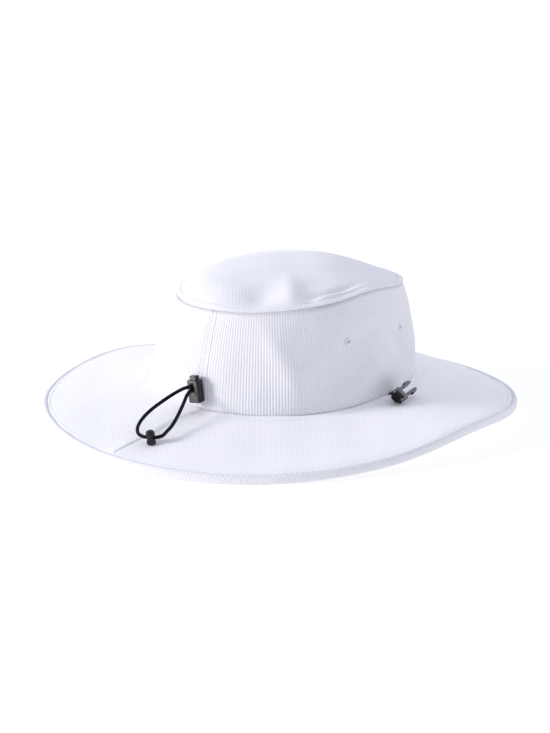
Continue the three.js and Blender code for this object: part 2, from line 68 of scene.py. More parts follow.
def new_object(name, data):
    """An object of the scene."""
    item = bpy.data.objects.new(name, data)
    bpy.context.scene.collection.objects.link(item)
    return item


view_right = Vector((math.cos(VIEW_TURN), math.sin(VIEW_TURN), 0))
view_back = Vector((
    math.sin(VIEW_TURN) * math.cos(VIEW_RISE),
    -math.cos(VIEW_TURN) * math.cos(VIEW_RISE),
    math.sin(VIEW_RISE),
))
view_up = view_back.cross(view_right)
camera = new_object("camera", bpy.data.cameras.new("camera"))
camera.data.lens = LENS_MM
aim = AIM + view_right * AIM_RIGHT + view_up * AIM_UP
camera.location = aim + view_back * VIEW_DISTANCE
camera.rotation_euler = (-view_back).to_track_quat("-Z", "Y").to_euler()
bpy.context.scene.camera = camera
print("camera height:", round(camera.location.z, 3), "m")

# %% [markdown]
# ## The hat's form
# The crown is an oval that flares out to its lower seam, and the brim droops and lifts
# round its edge. Twelve sections, one every 30 degrees from the wearer's left, say how.
# Each column of the table is a share of a named size, and a smooth closed curve joins them.
# Soft folds are bell-shaped bumps in a table of their own. Working the form out again,
# instead of copying the flat-sided construction solids, lets the cloth be as fine as it
# needs to be.

# %% Named sizes and tables of the form
HALF_WIDTH, HALF_LENGTH = 0.084, 0.099
SEAM_HEIGHT, WALL_HEIGHT, TOP_INSET = 0.0312, 0.072, 0.015
DOME_RISE, WALL_FOLD, TIP_FOLD = 0.021, 0.004, 0.006
WALL_THICKNESS, TIP_THICKNESS, BRIM_THICKNESS = 0.002, 0.002, 0.0024
BULGE_POWER, DOME_POWER, DROOP_POWER = 2.2, 2.3, 1.12
BRIM_REACH, EDGE_LIFT, BRIM_WAVE = 0.076, 0.014, 0.0016
RIM_THICKNESS, RIM_DROP, SEAM_GAP = 0.0032, 0.0062, 0.0003

SECTIONS = {
    "seam": (1.00, 0.97, 0.89, 0.79, 0.73, 0.72, 0.79, 0.85, 0.90, 0.95, 0.99, 1.01),
    "wall": (0.80, 0.81, 0.83, 0.88, 0.91, 0.95, 0.99, 0.90, 0.84, 0.80, 0.78, 0.78),
    "inset": (0.88, 0.96, 1.03, 1.01, 0.95, 0.88, 0.78, 0.64, 0.61, 0.64, 0.71, 0.79),
    "reach": (0.89, 0.94, 0.98, 1.00, 0.95, 0.91, 0.89, 0.89, 0.86, 0.82, 0.83, 0.87),
    "lift": (1.00, 0.82, 0.66, 0.25, 0.00, 0.28, 0.88, 0.43, 0.04, 0.00, 0.00, 0.30),
}
SECTION_TURN = 30
FOLD_COLUMNS = ("angle", "middle", "spread", "run", "lean", "depth")
WALL_FOLDS = (
    (158, 0.30, 11, 0.30, -22, 0.95),
    (141, 0.50, 7, 0.60, -18, -0.30),
    (193, 0.42, 7, 0.22, 20, 0.70),
    (178, 0.30, 4, 0.25, 30, -0.30),
    (198, 0.61, 8, 0.17, 0, 0.40),
    (38, 0.45, 16, 0.30, 0, -0.35),
    (300, 0.45, 20, 0.35, 12, 0.70),
    (345, 0.40, 12, 0.30, -15, 0.45),
)
TIP_FOLDS = (
    (118, 0.80, 12, 0.16, 0, 0.55),
    (136, 0.78, 8, 0.20, 0, -0.35),
    (152, 0.76, 11, 0.13, 0, 0.75),
    (153, 0.92, 8, 0.06, 0, -0.30),
    (225, 0.75, 35, 0.30, 0, 0.60),
    (45, 0.65, 40, 0.30, 0, -0.35),
    (300, 0.55, 30, 0.25, 0, 0.25),
)
BRIM_FOLDS = (
    (75, 0.55, 14, 0.35, 0, 0.60),
    (105, 0.60, 12, 0.30, 0, -0.50),
    (140, 0.55, 16, 0.35, 0, 0.60),
    (175, 0.60, 14, 0.30, 0, -0.60),
    (215, 0.55, 16, 0.35, 0, 0.50),
    (285, 0.60, 22, 0.35, 0, -0.60),
    (340, 0.55, 18, 0.35, 0, 0.60),
)
WALL_CREASES = (
    (114, 0.55, 13, 0.70, 8, 0.65),
    (132, 0.50, 5, 0.50, 20, -0.60),
    (147, 0.52, 9, 0.45, 15, 0.75),
    (172, 0.30, 5, 0.16, -55, -0.50),
    (170, 0.63, 7, 0.14, -106, 0.50),
    (173, 0.10, 6, 0.08, 0, 0.35),
    (126, 0.18, 3, 0.12, 0, 0.15),
    (119, 0.18, 3, 0.15, 0, -0.15),
)
TIP_CREASES = (
    (119, 0.84, 9, 0.10, 0, 0.45),
    (137, 0.85, 5, 0.13, 0, -0.45),
    (152, 0.75, 11, 0.13, 0, -0.90),
    (148, 0.91, 4, 0.05, 0, 0.50),
    (160, 0.872, 13, 0.028, 12, 1.00),
    (158, 0.925, 12, 0.026, 10, -0.45),
    (75, 0.82, 34, 0.16, 0, -0.90),
)
RIM_OUTLINE = (
    (0.16, 0.92), (0.45, 1.00), (0.80, 0.97), (1.00, 0.78),
    (1.00, 0.36), (0.76, 0.06), (0.32, 0.00), (0.00, 0.12),
)

# %% [markdown]
# The form could be pushed about by hand, but functions give the same form at any fineness.
# Every seam, stitch and fitting later reads its place from them, so that all stay together.


# %% Functions of the form
def closed_curve(values, place):
    """A smooth closed curve through evenly spaced values, read at a place counted in rows."""
    values = np.asarray(values, float)
    row = np.floor(place).astype(int)
    share = place - row
    before, here, after, last = (values[(row + step) % len(values)] for step in (-1, 0, 1, 2))
    slope, next_slope = (after - before) / 2, (last - here) / 2
    cubic = 2 * (here - after) + slope + next_slope
    square = 3 * (after - here) - 2 * slope - next_slope
    return ((cubic * share + square) * share + slope) * share + here


def around(column, angle):
    return closed_curve(SECTIONS[column], np.mod(angle, 360) / SECTION_TURN)


def fold_depth(folds, angle, share):
    depth = 0.0
    for row in folds:
        fold = dict(zip(FOLD_COLUMNS, row))
        drift = fold["lean"] * (share - fold["middle"])
        turn = np.mod(angle - fold["angle"] + drift + 180, 360) - 180
        across = (share - fold["middle"]) / fold["run"]
        depth = depth + fold["depth"] * np.exp(-((turn / fold["spread"]) ** 2) - across**2)
    return depth


def mix(low, high, share):
    return low + (high - low) * share


def smooth_step(share):
    share = np.clip(share, 0, 1)
    return share * share * (3 - 2 * share)


def run_along(points):
    """The distance along a line of points, at each of them."""
    return np.concatenate([[0], np.cumsum(np.linalg.norm(np.diff(points, axis=0), axis=1))])


def outward_at(angle):
    turn = np.radians(angle)
    normal = np.stack([np.cos(turn) / HALF_WIDTH, np.sin(turn) / HALF_LENGTH], -1)
    return normal / np.linalg.norm(normal, axis=-1, keepdims=True)


def oval_point(angle, out, height):
    """A point beside the crown's lower oval: out is its level distance from the oval."""
    angle, out, height = np.broadcast_arrays(*(np.asarray(v, float) for v in (angle, out, height)))
    turn = np.radians(angle)
    level = np.stack([HALF_WIDTH * np.cos(turn), HALF_LENGTH * np.sin(turn)], -1)
    level = level + outward_at(angle) * out[..., None]
    return np.concatenate([level, height[..., None]], -1)


def seam_height(angle):
    return SEAM_HEIGHT * around("seam", angle)


def edge_height(angle):
    return RIM_DROP + EDGE_LIFT * around("lift", angle)


def top_height(angle):
    return seam_height(angle) + WALL_HEIGHT * around("wall", angle)


def wall_point(angle, rise, lift=0.0):
    """A point of the crown's wall, from 0 at its lower seam to 1 at its top one."""
    fold = WALL_FOLD * fold_depth(WALL_FOLDS, angle, rise) * np.sin(math.pi * rise)
    inset = TOP_INSET * around("inset", angle) * rise**BULGE_POWER
    low = seam_height(angle) + SEAM_GAP
    high = top_height(angle) - TIP_THICKNESS - SEAM_GAP
    return oval_point(angle, lift - inset - fold, mix(low, high, rise))


SECTION_ANGLES = np.arange(0, 360, SECTION_TURN)
MIDDLE_HEIGHT = top_height(SECTION_ANGLES).mean() + DOME_RISE


def tip_height(angle, out):
    dent = TIP_FOLD * fold_depth(TIP_FOLDS, angle, out) * (1 - out**8)
    return mix(MIDDLE_HEIGHT, top_height(angle), np.maximum(out, 0) ** DOME_POWER) - dent


def brim_height(angle, out):
    """Height of the brim's upper face at a level distance out from the crown's oval."""
    share = np.maximum(0, out) / (BRIM_REACH * around("reach", angle))
    wave = BRIM_WAVE * fold_depth(BRIM_FOLDS, angle, share) * np.sin(math.pi * np.minimum(share, 1))
    return mix(seam_height(angle), edge_height(angle), share**DROOP_POWER) - wave


def reach_at(angle):
    return BRIM_REACH * around("reach", angle)


def rim_point(angle, place, proud=0.0):
    """A point of the rim's rounded section. place goes once round it, from 0 to 1."""
    row = np.mod(place, 1) * len(RIM_OUTLINE)
    out_share = closed_curve([p[0] for p in RIM_OUTLINE], row)
    down_share = closed_curve([p[1] for p in RIM_OUTLINE], row)
    out = reach_at(angle) + SEAM_GAP + RIM_THICKNESS * mix(0.5, out_share, 1 + proud)
    return oval_point(angle, out, edge_height(angle) - RIM_DROP * mix(0.5, down_share, 1 + proud / 2))


rim_corners = rim_point(np.arange(360)[:, None], np.arange(8)[None, :] / 8).reshape(-1, 3)
rim_low, rim_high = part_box("brim_rim")
HAT_SHIFT = np.array((rim_low + rim_high) / 2) - (rim_corners.min(0) + rim_corners.max(0)) / 2
HAT_SHIFT[2] = rim_low.z - rim_corners.min(0)[2]
print("crown's middle in the frame:", (1000 * HAT_SHIFT).round(2), "mm")

# %% [markdown]
# ## Meshes and pieces
# Every piece is a plain mesh whose points are worked out in the crown's own frame and then
# shifted to the hat's place. A map called grain says for each corner of a face how far
# across and along the ribs it lies, in metres, so that the knit follows the cloth.


# %% Helpers that make a piece
def finish_mesh(mesh, material, smooth_angle=None):
    mesh.materials.clear()
    mesh.materials.append(material)
    mesh.shade_smooth()
    if smooth_angle:
        mesh.set_sharp_from_angle(angle=math.radians(smooth_angle))
    mesh.validate()


def add_piece(name, mesh, body, replaces=()):
    piece = new_object(name, mesh)
    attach(piece, body)
    if replaces:
        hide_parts(*replaces)
    print(f"{name}: {len(mesh.polygons)} faces")
    return piece


def mesh_from(name, points, faces, grain, merge=0.0):
    """A mesh from crown-frame points and faces. grain holds a pair for each face corner."""
    mesh = bpy.data.meshes.new(name)
    placed = np.asarray(points, float) + HAT_SHIFT
    mesh.from_pydata(placed.tolist(), [], [tuple(face) for face in faces])
    layer = mesh.uv_layers.new(name="grain")
    layer.data.foreach_set("uv", np.asarray(grain, np.float32).ravel())
    if merge:
        work = bmesh.new()
        work.from_mesh(mesh)
        bmesh.ops.remove_doubles(work, verts=work.verts, dist=merge)
        work.to_mesh(mesh)
        work.free()
    return mesh


def ring_mesh(name, points, across, along):
    """A closed band. points is columns x section x 3, and across has one value more than
    there are columns, for the end of the last one."""
    columns, size = points.shape[:2]
    index = np.arange(columns * size).reshape(columns, size)
    following = np.roll(index, -1, 0)
    faces = np.stack([index, following, np.roll(following, -1, 1), np.roll(index, -1, 1)], -1)
    here = np.broadcast_to(across[:-1, None], (columns, size))
    after = np.broadcast_to(across[1:, None], (columns, size))
    low = np.broadcast_to(along[:-1], (columns, size))
    high = np.broadcast_to(along[1:], (columns, size))
    grain = np.stack([
        np.stack([here, low], -1), np.stack([after, low], -1),
        np.stack([after, high], -1), np.stack([here, high], -1),
    ], 2)
    return mesh_from(name, points.reshape(-1, 3), faces.reshape(-1, 4), grain)


def ring_faces(count, size):
    """Point numbers of a stack of rings, each of the same size, and the faces between them."""
    index = np.arange(count * size).reshape(count, size)
    following = np.roll(index, -1, 1)
    faces = np.stack([index[:-1], following[:-1], following[1:], index[1:]], -1)
    return index, following, faces.reshape(-1, 4).tolist()


def baked(item, *tools):
    """The plain mesh that an object's modifiers make. The object and its tools are removed."""
    depsgraph = bpy.context.evaluated_depsgraph_get()
    result = bpy.data.meshes.new_from_object(item.evaluated_get(depsgraph))
    for used in (item, *tools):
        bpy.data.objects.remove(used)
    return result


# %% [markdown]
# ## Materials
# The cloth is white polyester knit: matt, a little blue in its shade, with fine loops along
# each rib. A material node tree can draw this, so no picture of cloth is needed. Loops and
# fuzz are too small to model, so they are bump. The ribs themselves are real geometry.
# Shade in the valleys between ribs is painted into the colour, and the brim's cloth is painted lighter.


# %% A small helper for node trees
def new_material(name, color, roughness, **sockets):
    material = bpy.data.materials.new(name)
    material.use_nodes = True
    material.diffuse_color = (*color, 1)
    shader = material.node_tree.nodes["Principled BSDF"]
    shader.inputs["Base Color"].default_value = (*color, 1)
    shader.inputs["Roughness"].default_value = roughness
    for socket, value in sockets.items():
        shader.inputs[socket.replace("_", " ")].default_value = value
    return material, material.node_tree, shader


def add_node(tree, kind, inputs=(), **settings):
    """Adds a node. inputs are numbers, colours or other nodes' outputs, in socket order."""
    node = tree.nodes.new(kind)
    for key, value in settings.items():
        setattr(node, key, value)
    for socket, value in zip(node.inputs, inputs):
        if isinstance(value, bpy.types.NodeSocket):
            tree.links.new(value, socket)
        elif value is not None:
            socket.default_value = value
    return node


def calculate(tree, operation, *values):
    return add_node(tree, "ShaderNodeMath", values, operation=operation).outputs[0]


def grain_of(tree):
    """The distance across and along the ribs, from the grain map."""
    place = add_node(tree, "ShaderNodeUVMap", uv_map="grain").outputs[0]
    split = add_node(tree, "ShaderNodeSeparateXYZ", [place])
    return split.outputs[0], split.outputs[1]


def object_noise(tree, scale, detail):
    place = add_node(tree, "ShaderNodeTexCoord").outputs["Object"]
    return add_node(tree, "ShaderNodeTexNoise", [place, None, scale, detail]).outputs[0]


def mixed_color(tree, share, low, high):
    ramp = tree.nodes.new("ShaderNodeValToRGB")
    ramp.color_ramp.elements[0].color = (*low, 1)
    ramp.color_ramp.elements[1].color = (*high, 1)
    tree.links.new(share, ramp.inputs[0])
    return ramp.outputs[0]


def color_by(tree, shader, share, low, high):
    tree.links.new(mixed_color(tree, share, low, high), shader.inputs["Base Color"])


def add_bump(tree, shader, height, distance, strength):
    bump = add_node(tree, "ShaderNodeBump")
    bump.inputs["Strength"].default_value = strength
    bump.inputs["Distance"].default_value = distance
    tree.links.new(height, bump.inputs["Height"])
    tree.links.new(bump.outputs[0], shader.inputs["Normal"])


# %% Knit cloth
RIB_PITCH = 0.0020
LOOP_PITCH = 0.0013
KNIT_BUMP, THREAD_BUMP, BRAID_BUMP, PLASTIC_BUMP = 0.00022, 0.00012, 0.00016, 0.00005
FUZZ_SCALE, CLOUD_SCALE, STRAND_SCALE = 1400.0, 38.0, 2600.0
WEAR_SCALE, GRAIN_SCALE = 420.0, 5200.0


def knit_material(name, cloth, valley_shade, rib_share, bump=0.7):
    """White knit: rounded ribs, staggered loops along them, a little fuzz, and painted shade in the valleys
    between ribs.
    """
    material, tree, shader = new_material(name, cloth, 0.92, Sheen_Weight=0.25, Sheen_Roughness=0.5)
    across, along = grain_of(tree)
    ribs = calculate(tree, "DIVIDE", across, RIB_PITCH)
    turn = calculate(tree, "MULTIPLY", calculate(tree, "FRACT", ribs), math.pi)
    rib = calculate(tree, "SINE", turn)
    stagger = calculate(tree, "MULTIPLY", calculate(tree, "FLOOR", ribs), 0.5)
    loops = calculate(tree, "ADD", calculate(tree, "DIVIDE", along, LOOP_PITCH), stagger)
    loop = calculate(tree, "SINE", calculate(tree, "MULTIPLY", loops, 2 * math.pi))
    loop = calculate(tree, "MULTIPLY_ADD", loop, 0.5, 0.5)
    fuzz = object_noise(tree, FUZZ_SCALE, 2.0)
    height = calculate(tree, "MULTIPLY", rib, calculate(tree, "MULTIPLY_ADD", loop, 0.35, rib_share))
    height = calculate(tree, "MULTIPLY_ADD", fuzz, 0.35, height)
    add_bump(tree, shader, height, KNIT_BUMP, bump)
    # Painted shade: the colour is darker and bluer in the valleys between ribs, mixed with a random cloudy
    # tone.
    cloudy = object_noise(tree, CLOUD_SCALE, 2.0)
    depth = calculate(tree, "MULTIPLY_ADD", cloudy, 0.25, calculate(tree, "MULTIPLY", rib, 0.85))
    color_by(tree, shader, depth, valley_shade, cloth)
    return material


# Each knit is given its colour and the colour of its valleys, which holds painted shade.
knit_cloth = knit_material("white knit", (0.85, 0.85, 0.88), (0.77, 0.78, 0.84), 0.4)
# The brim's knit is the same cloth in a lighter colour: painted light on the brim's upper face.
brim_knit_painted_lighter = knit_material("white knit, painted lighter", (0.93, 0.935, 0.96), (0.91, 0.917, 0.95), 0.3, 0.3)
panel_cloth = knit_material("white knit, fine", (0.84, 0.845, 0.885), (0.82, 0.828, 0.875), 0.3, 0.3)
turned_cloth = knit_material("white knit, turned edge", (0.84, 0.84, 0.88), (0.77, 0.78, 0.84), 0.5)


# %% [markdown]
# Sewing thread is a soft white with fine strands. The cord and the tapes are black strands
# that cross, drawn from the same grain map, with painted shade in the hollows between them.
# The moulded fittings are the only glossy things on the hat. Their edges are polished, and
# the marked faces are matt, and a little lighter as a painted reflection.


# %% Thread, cord, tape and plastic
def thread_material():
    material, tree, shader = new_material("white thread", (0.86, 0.87, 0.90), 0.7, Sheen_Weight=0.3)
    strands = object_noise(tree, STRAND_SCALE, 2.0)
    add_bump(tree, shader, strands, THREAD_BUMP, 0.6)
    color_by(tree, shader, strands, (0.74, 0.76, 0.82), (0.90, 0.90, 0.93))
    return material


def braid_material(name, ends, picks, dark, light):
    """Black elastic: two sets of strands that cross, from the grain map's two distances, with painted shade
    in the hollows between them.
    """
    material, tree, shader = new_material(name, dark, 0.5, Specular_IOR_Level=0.12, Sheen_Weight=0.02)
    across, along = grain_of(tree)
    first = calculate(tree, "MULTIPLY_ADD", across, ends, calculate(tree, "MULTIPLY", along, picks))
    second = calculate(tree, "MULTIPLY_ADD", across, ends, calculate(tree, "MULTIPLY", along, -picks))
    weave = calculate(tree, "MULTIPLY", calculate(tree, "SINE", first), calculate(tree, "SINE", second))
    height = calculate(tree, "MULTIPLY_ADD", weave, 0.5, 0.5)
    add_bump(tree, shader, height, BRAID_BUMP, 0.8)
    # Painted shade: the hollows between strands take the dark colour, and the crests take the light one.
    color_by(tree, shader, height, dark, light)
    return material


def plastic_material():
    """Polished black plastic. Marked faces are matt, and a little lighter as a painted reflection."""
    material, tree, shader = new_material("black plastic", (0.003, 0.003, 0.004), 0.2, Coat_Weight=0.2)
    painted_reflection = add_node(tree, "ShaderNodeAttribute", attribute_name="painted_reflection").outputs["Fac"]
    wear = object_noise(tree, WEAR_SCALE, 4.0)
    grain = object_noise(tree, GRAIN_SCALE, 1.0)
    roughness = calculate(tree, "MULTIPLY_ADD", wear, 0.14, 0.12)
    roughness = calculate(tree, "MULTIPLY_ADD", painted_reflection, 0.28, roughness)
    tree.links.new(roughness, shader.inputs["Roughness"])
    gloss = calculate(tree, "MULTIPLY_ADD", painted_reflection, 0.75, 0.18)
    tree.links.new(gloss, shader.inputs["Specular IOR Level"])
    relief = calculate(tree, "MULTIPLY", grain, calculate(tree, "MULTIPLY_ADD", painted_reflection, 0.9, 0.1))
    add_bump(tree, shader, relief, PLASTIC_BUMP, 0.5)
    # Painted reflection: the marked faces get a lighter colour. The random wear noise adds a little tone of
    # its own.
    light = calculate(tree, "MULTIPLY_ADD", painted_reflection, 0.75, calculate(tree, "MULTIPLY", wear, 0.25))
    color_by(tree, shader, light, (0.001, 0.001, 0.002), (0.085, 0.083, 0.092))
    return material


white_thread = thread_material()
CORD_ENDS, CORD_PICKS = 7.0, 4200.0
black_elastic = braid_material(
    "braided elastic", CORD_ENDS, CORD_PICKS, (0.0006, 0.0006, 0.001), (0.004, 0.004, 0.006))
black_tape = braid_material("woven tape", 5200.0, 3600.0, (0.002, 0.002, 0.003), (0.012, 0.012, 0.015))
black_plastic = plastic_material()

# %% [markdown]
# ## Elastic cord
# A loop of braided elastic leaves the cord lock, lies down the brim, passes through a small
# stopper and comes back. The route is a short list of given points, with a smooth curve
# through them. A mesh tube is used and not a bevelled curve, because it lets the braid be
# modelled: two sets of ridges wind round the cord in opposite directions.

# %% Route of the cord, in millimetres from the crown's middle
CORD_ROUTE_MM = (
    (-3.92, 99.7, 41.22), (-4.15, 102.9, 41.22), (-4.43, 106.6, 41.22), (-3.7, 109.3, 41.0),
    (-0.6, 111.2, 39.6), (3.8, 114.2, 36.6), (7.6, 123.0, 32.0), (9.2, 133.0, 27.8),
    (8.2, 142.5, 23.9), (4.9, 149.8, 21.0), (-0.2, 154.6, 19.3), (-5.9, 155.7, 18.6),
    (-10.1, 154.2, 18.85), (-14.3, 152.6, 19.1), (-16.0, 149.4, 19.8), (-15.0, 144.5, 20.9),
    (-14.0, 138.5, 22.9), (-11.9, 130.2, 27.0), (-7.9, 119.5, 32.4), (-5.6, 112.8, 36.6),
    (-4.9, 109.2, 38.1), (-4.78, 106.56, 38.34), (-4.51, 102.87, 38.34), (-4.27, 99.68, 38.34),
)
CORD_DIAMETER = 0.0024
CORD_RINGS_PER_SPAN = 18
CORD_SIDES = 28
BRAID_HEIGHT = 0.00009


def smooth_path(points, per_span):
    """An even curve through every point, with knots spaced by the root of the distance."""
    points = np.asarray(points, float)
    ends = np.stack([2 * points[0] - points[1], 2 * points[-1] - points[-2]])
    guide = np.concatenate([ends[:1], points, ends[1:]])
    path = []
    for i in range(len(points) - 1):
        four = guide[i:i + 4]
        gaps = np.linalg.norm(np.diff(four, axis=0), axis=1) ** 0.5
        k0, k1, k2, k3 = np.concatenate([[0], np.cumsum(gaps)])
        for t in np.linspace(k1, k2, per_span, endpoint=False):
            a1 = mix(four[0], four[1], (t - k0) / (k1 - k0))
            a2 = mix(four[1], four[2], (t - k1) / (k2 - k1))
            a3 = mix(four[2], four[3], (t - k2) / (k3 - k2))
            b1 = mix(a1, a2, (t - k0) / (k2 - k0))
            b2 = mix(a2, a3, (t - k1) / (k3 - k1))
            path.append(mix(b1, b2, (t - k1) / (k2 - k1)))
    path.append(points[-1])
    return np.array(path)


def tube_mesh(name, path, sides, radius_at):
    """A closed tube. radius_at takes the turn round it and the distance along it."""
    steps = np.gradient(path, axis=0)
    steps /= np.linalg.norm(steps, axis=1, keepdims=True)
    side = np.cross(steps[0], (0, 0, 1.0))
    rings, along = [], run_along(path)
    turn = np.linspace(0, 2 * math.pi, sides, endpoint=False)
    for centre, step, distance in zip(path, steps, along):
        side = side - step * (side @ step)
        side /= np.linalg.norm(side)
        other = np.cross(step, side)
        radius = radius_at(turn, distance)[:, None]
        rings.append(centre + radius * (np.cos(turn)[:, None] * side + np.sin(turn)[:, None] * other))
    index, following, faces = ring_faces(len(rings), sides)
    full = np.linspace(0, 2 * math.pi, sides + 1)
    grain = [
        pair for low, high in zip(along[:-1], along[1:]) for here, after in zip(full[:-1], full[1:])
        for pair in ((here, low), (after, low), (after, high), (here, high))]
    for j in range(sides):
        faces.append((following[0, j], index[0, j], index.size))
        faces.append((index[-1, j], following[-1, j], index.size + 1))
        grain += [(full[j + 1], 0), (full[j], 0), (full[j], 0)]
        grain += [(full[j], along[-1]), (full[j + 1], along[-1]), (full[j], along[-1])]
    return mesh_from(name, np.concatenate([*rings, path[:1], path[-1:]]), faces, grain)


def braid_radius(turn, distance):
    first = np.cos(CORD_ENDS * turn + CORD_PICKS * distance / 2)
    second = np.cos(CORD_ENDS * turn - CORD_PICKS * distance / 2)
    return CORD_DIAMETER / 2 - BRAID_HEIGHT + BRAID_HEIGHT * np.maximum(first, second)


cord_path = smooth_path(np.array(CORD_ROUTE_MM) / 1000, CORD_RINGS_PER_SPAN)
cord_mesh = tube_mesh("elastic_cord", cord_path, CORD_SIDES, braid_radius)
finish_mesh(cord_mesh, black_elastic)
elastic_cord = add_piece("elastic_cord", cord_mesh, "hat", ["drawcord"])

# %% [markdown]
# ## Ribs
# The knit has a rib every 2 mm. Each rib is a low round ridge with a sharp valley beside
# it. On the crown's wall the ribs stand upright, so the wall's mesh simply has six columns
# of faces to a rib. On the tip and the brim the cloth is cut on a slant, and the mesh there
# has its columns in line with the ribs too, cut off at the panel's edge.

# %% Rib relief and the cloth's own unevenness
RIB_HEIGHT, PANEL_RIB_HEIGHT = 0.00020, 0.00005
COLUMNS_PER_RIB = 6
UNEVENNESS = 0.00022
CREASE_DEPTH = 0.003
GRAIN_ANGLE = math.radians(129)
grain_along = np.array([math.cos(GRAIN_ANGLE), math.sin(GRAIN_ANGLE)])
grain_across = np.array([math.sin(GRAIN_ANGLE), -math.cos(GRAIN_ANGLE)])


def rib_relief(across, height=RIB_HEIGHT):
    place = np.mod(across / RIB_PITCH, 1)
    return height * (1 - (2 * place - 1) ** 2)


def crease_relief(creases, angle, share):
    return -CREASE_DEPTH * fold_depth(creases, angle, share)


def cloth_relief(x, y, z):
    """Slow bumps of a few centimetres, as in cloth that has been folded and worn."""
    waves = (
        np.sin(x / 0.0071 + 1.3 * np.sin(z / 0.011)) * np.cos(y / 0.0083)
        + np.sin(x / 0.0052 - y / 0.0067 + 0.7) * 0.6
        + np.sin(z / 0.0058 + x / 0.0091) * 0.6
    )
    return UNEVENNESS * waves


# %% [markdown]
# ## Crown wall
# One band of cloth, closed by a seam at the back. Its outer face carries the ribs, and both
# edges roll in towards their seams. It could be a flat grid bent with a modifier, but the
# form's own functions put every rib straight on the real surface.

# %% Crown wall
WALL_ROWS = 30
WALL_INNER_ROWS = 6
WALL_OVERLAP = 0.0005
EDGE_ROLL, EDGE_ROLL_REACH = 0.0007, 0.0015
TOP_ROLL, OVERHANG, TOP_LIP, TOP_FILL = -0.00015, 0.0008, 0.0005, 0.8
OVERHANG_START, OVERHANG_TURN = 140, 25
SEAM_ANGLE, DENSE_STEPS = 94.0, 7200
GROOVE_DEPTH, GROOVE_WIDTH = 0.0003, 0.0005
FELL_HEIGHT, FELL_WIDTH = 0.0002, 0.0034

dense_angles = SEAM_ANGLE + np.linspace(0, 360, DENSE_STEPS + 1)
dense_oval = oval_point(dense_angles, 0, 0)
dense_length = run_along(dense_oval)
OVAL_LENGTH = dense_length[-1]


def oval_angle(distance):
    return np.interp(np.mod(distance, OVAL_LENGTH), dense_length, dense_angles)


def back_seam_relief(distance):
    """The back seam: a groove, and beside it the turned edge that lies under the cloth."""
    signed = np.mod(distance + OVAL_LENGTH / 2, OVAL_LENGTH) - OVAL_LENGTH / 2
    groove = GROOVE_DEPTH * np.exp(-((signed / GROOVE_WIDTH) ** 2))
    fell = smooth_step(signed / GROOVE_WIDTH) * smooth_step((FELL_WIDTH - signed) / GROOVE_WIDTH)
    return FELL_HEIGHT * fell - groove


def wall_rises(count):
    """Rows that lie closer together towards both seams."""
    even = np.linspace(0, 1, count)
    return mix(even, smooth_step(even), 0.5)


def wall_relief(distance, angle, rise):
    height = top_height(angle) - seam_height(angle)
    rolls = EDGE_ROLL * np.exp(-((rise * height / EDGE_ROLL_REACH) ** 2))
    overhang = TOP_ROLL + OVERHANG * smooth_step((np.mod(angle, 360) - OVERHANG_START) / OVERHANG_TURN)
    near_top = np.exp(-(((1 - rise) * height / EDGE_ROLL_REACH) ** 2))
    rolls = rolls + overhang * near_top
    plain = wall_point(angle, rise)
    uneven = cloth_relief(*np.moveaxis(plain, -1, 0)) + crease_relief(WALL_CREASES, angle, rise)
    uneven = uneven * np.sqrt(np.sin(math.pi * np.clip(rise, 0, 1)))
    ribs = mix(rib_relief(distance), RIB_HEIGHT, TOP_FILL * near_top)
    return ribs + back_seam_relief(distance) + uneven - rolls


rib_count = round(OVAL_LENGTH / RIB_PITCH)
wall_columns = rib_count * COLUMNS_PER_RIB
wall_distance = np.arange(wall_columns) * OVAL_LENGTH / wall_columns
wall_pattern = wall_distance * rib_count * RIB_PITCH / OVAL_LENGTH
wall_angles = oval_angle(wall_distance)
outer_rises = wall_rises(WALL_ROWS + 1)
inner_rises = wall_rises(WALL_INNER_ROWS + 1)[::-1]
relief = wall_relief(wall_pattern[:, None], wall_angles[:, None], outer_rises[None, :])
outer_wall = wall_point(wall_angles[:, None], outer_rises[None, :], relief)
inner_wall = wall_point(wall_angles[:, None], inner_rises[None, :], -WALL_THICKNESS)
outer_wall[:, 0, 2] -= WALL_OVERLAP
outer_wall[:, -1, 2] += TIP_THICKNESS + TOP_LIP
inner_wall[:, -1, 2] -= WALL_OVERLAP
wall_points = np.concatenate([outer_wall, inner_wall], 1)
section_heights = np.concatenate([outer_rises, inner_rises, outer_rises[:1]]) * WALL_HEIGHT
pattern_ends = np.append(wall_pattern, rib_count * RIB_PITCH)
wall_mesh = ring_mesh("crown_wall_cloth", wall_points, pattern_ends, section_heights)
print("ribs round the crown:", rib_count)

# %% [markdown]
# The four vents go right through the cloth, so they are cut with a Boolean modifier that is
# applied at once. Each cutter is a short cylinder that stands on the wall's surface.

# %% Vent places, and their holes in the wall
VENTS = {
    "eyelet_left_front": (342.0, 0.60),
    "eyelet_left_back": (18.4, 0.64),
    "eyelet_right_back": (161.6, 0.64),
    "eyelet_right_front": (198.0, 0.60),
}
VENT_HOLE_RADIUS = 0.0009
VENT_CUT_RADIUS = 0.0017


def surface_matrix(centre, along, up):
    """A frame on a surface: x along it, y up it and z out of it."""
    along = Vector(along).normalized()
    out = along.cross(Vector(up)).normalized()
    matrix = Matrix((along, out.cross(along), out)).transposed().to_4x4()
    matrix.translation = Vector(centre)
    return matrix


def vent_matrix(angle, rise):
    along = wall_point(angle + 1, rise) - wall_point(angle - 1, rise)
    up = wall_point(angle, rise + 0.02) - wall_point(angle, rise - 0.02)
    return surface_matrix(wall_point(angle, rise), along, up)


def placed_matrix(matrix):
    return Matrix.Translation(Vector(HAT_SHIFT)) @ matrix


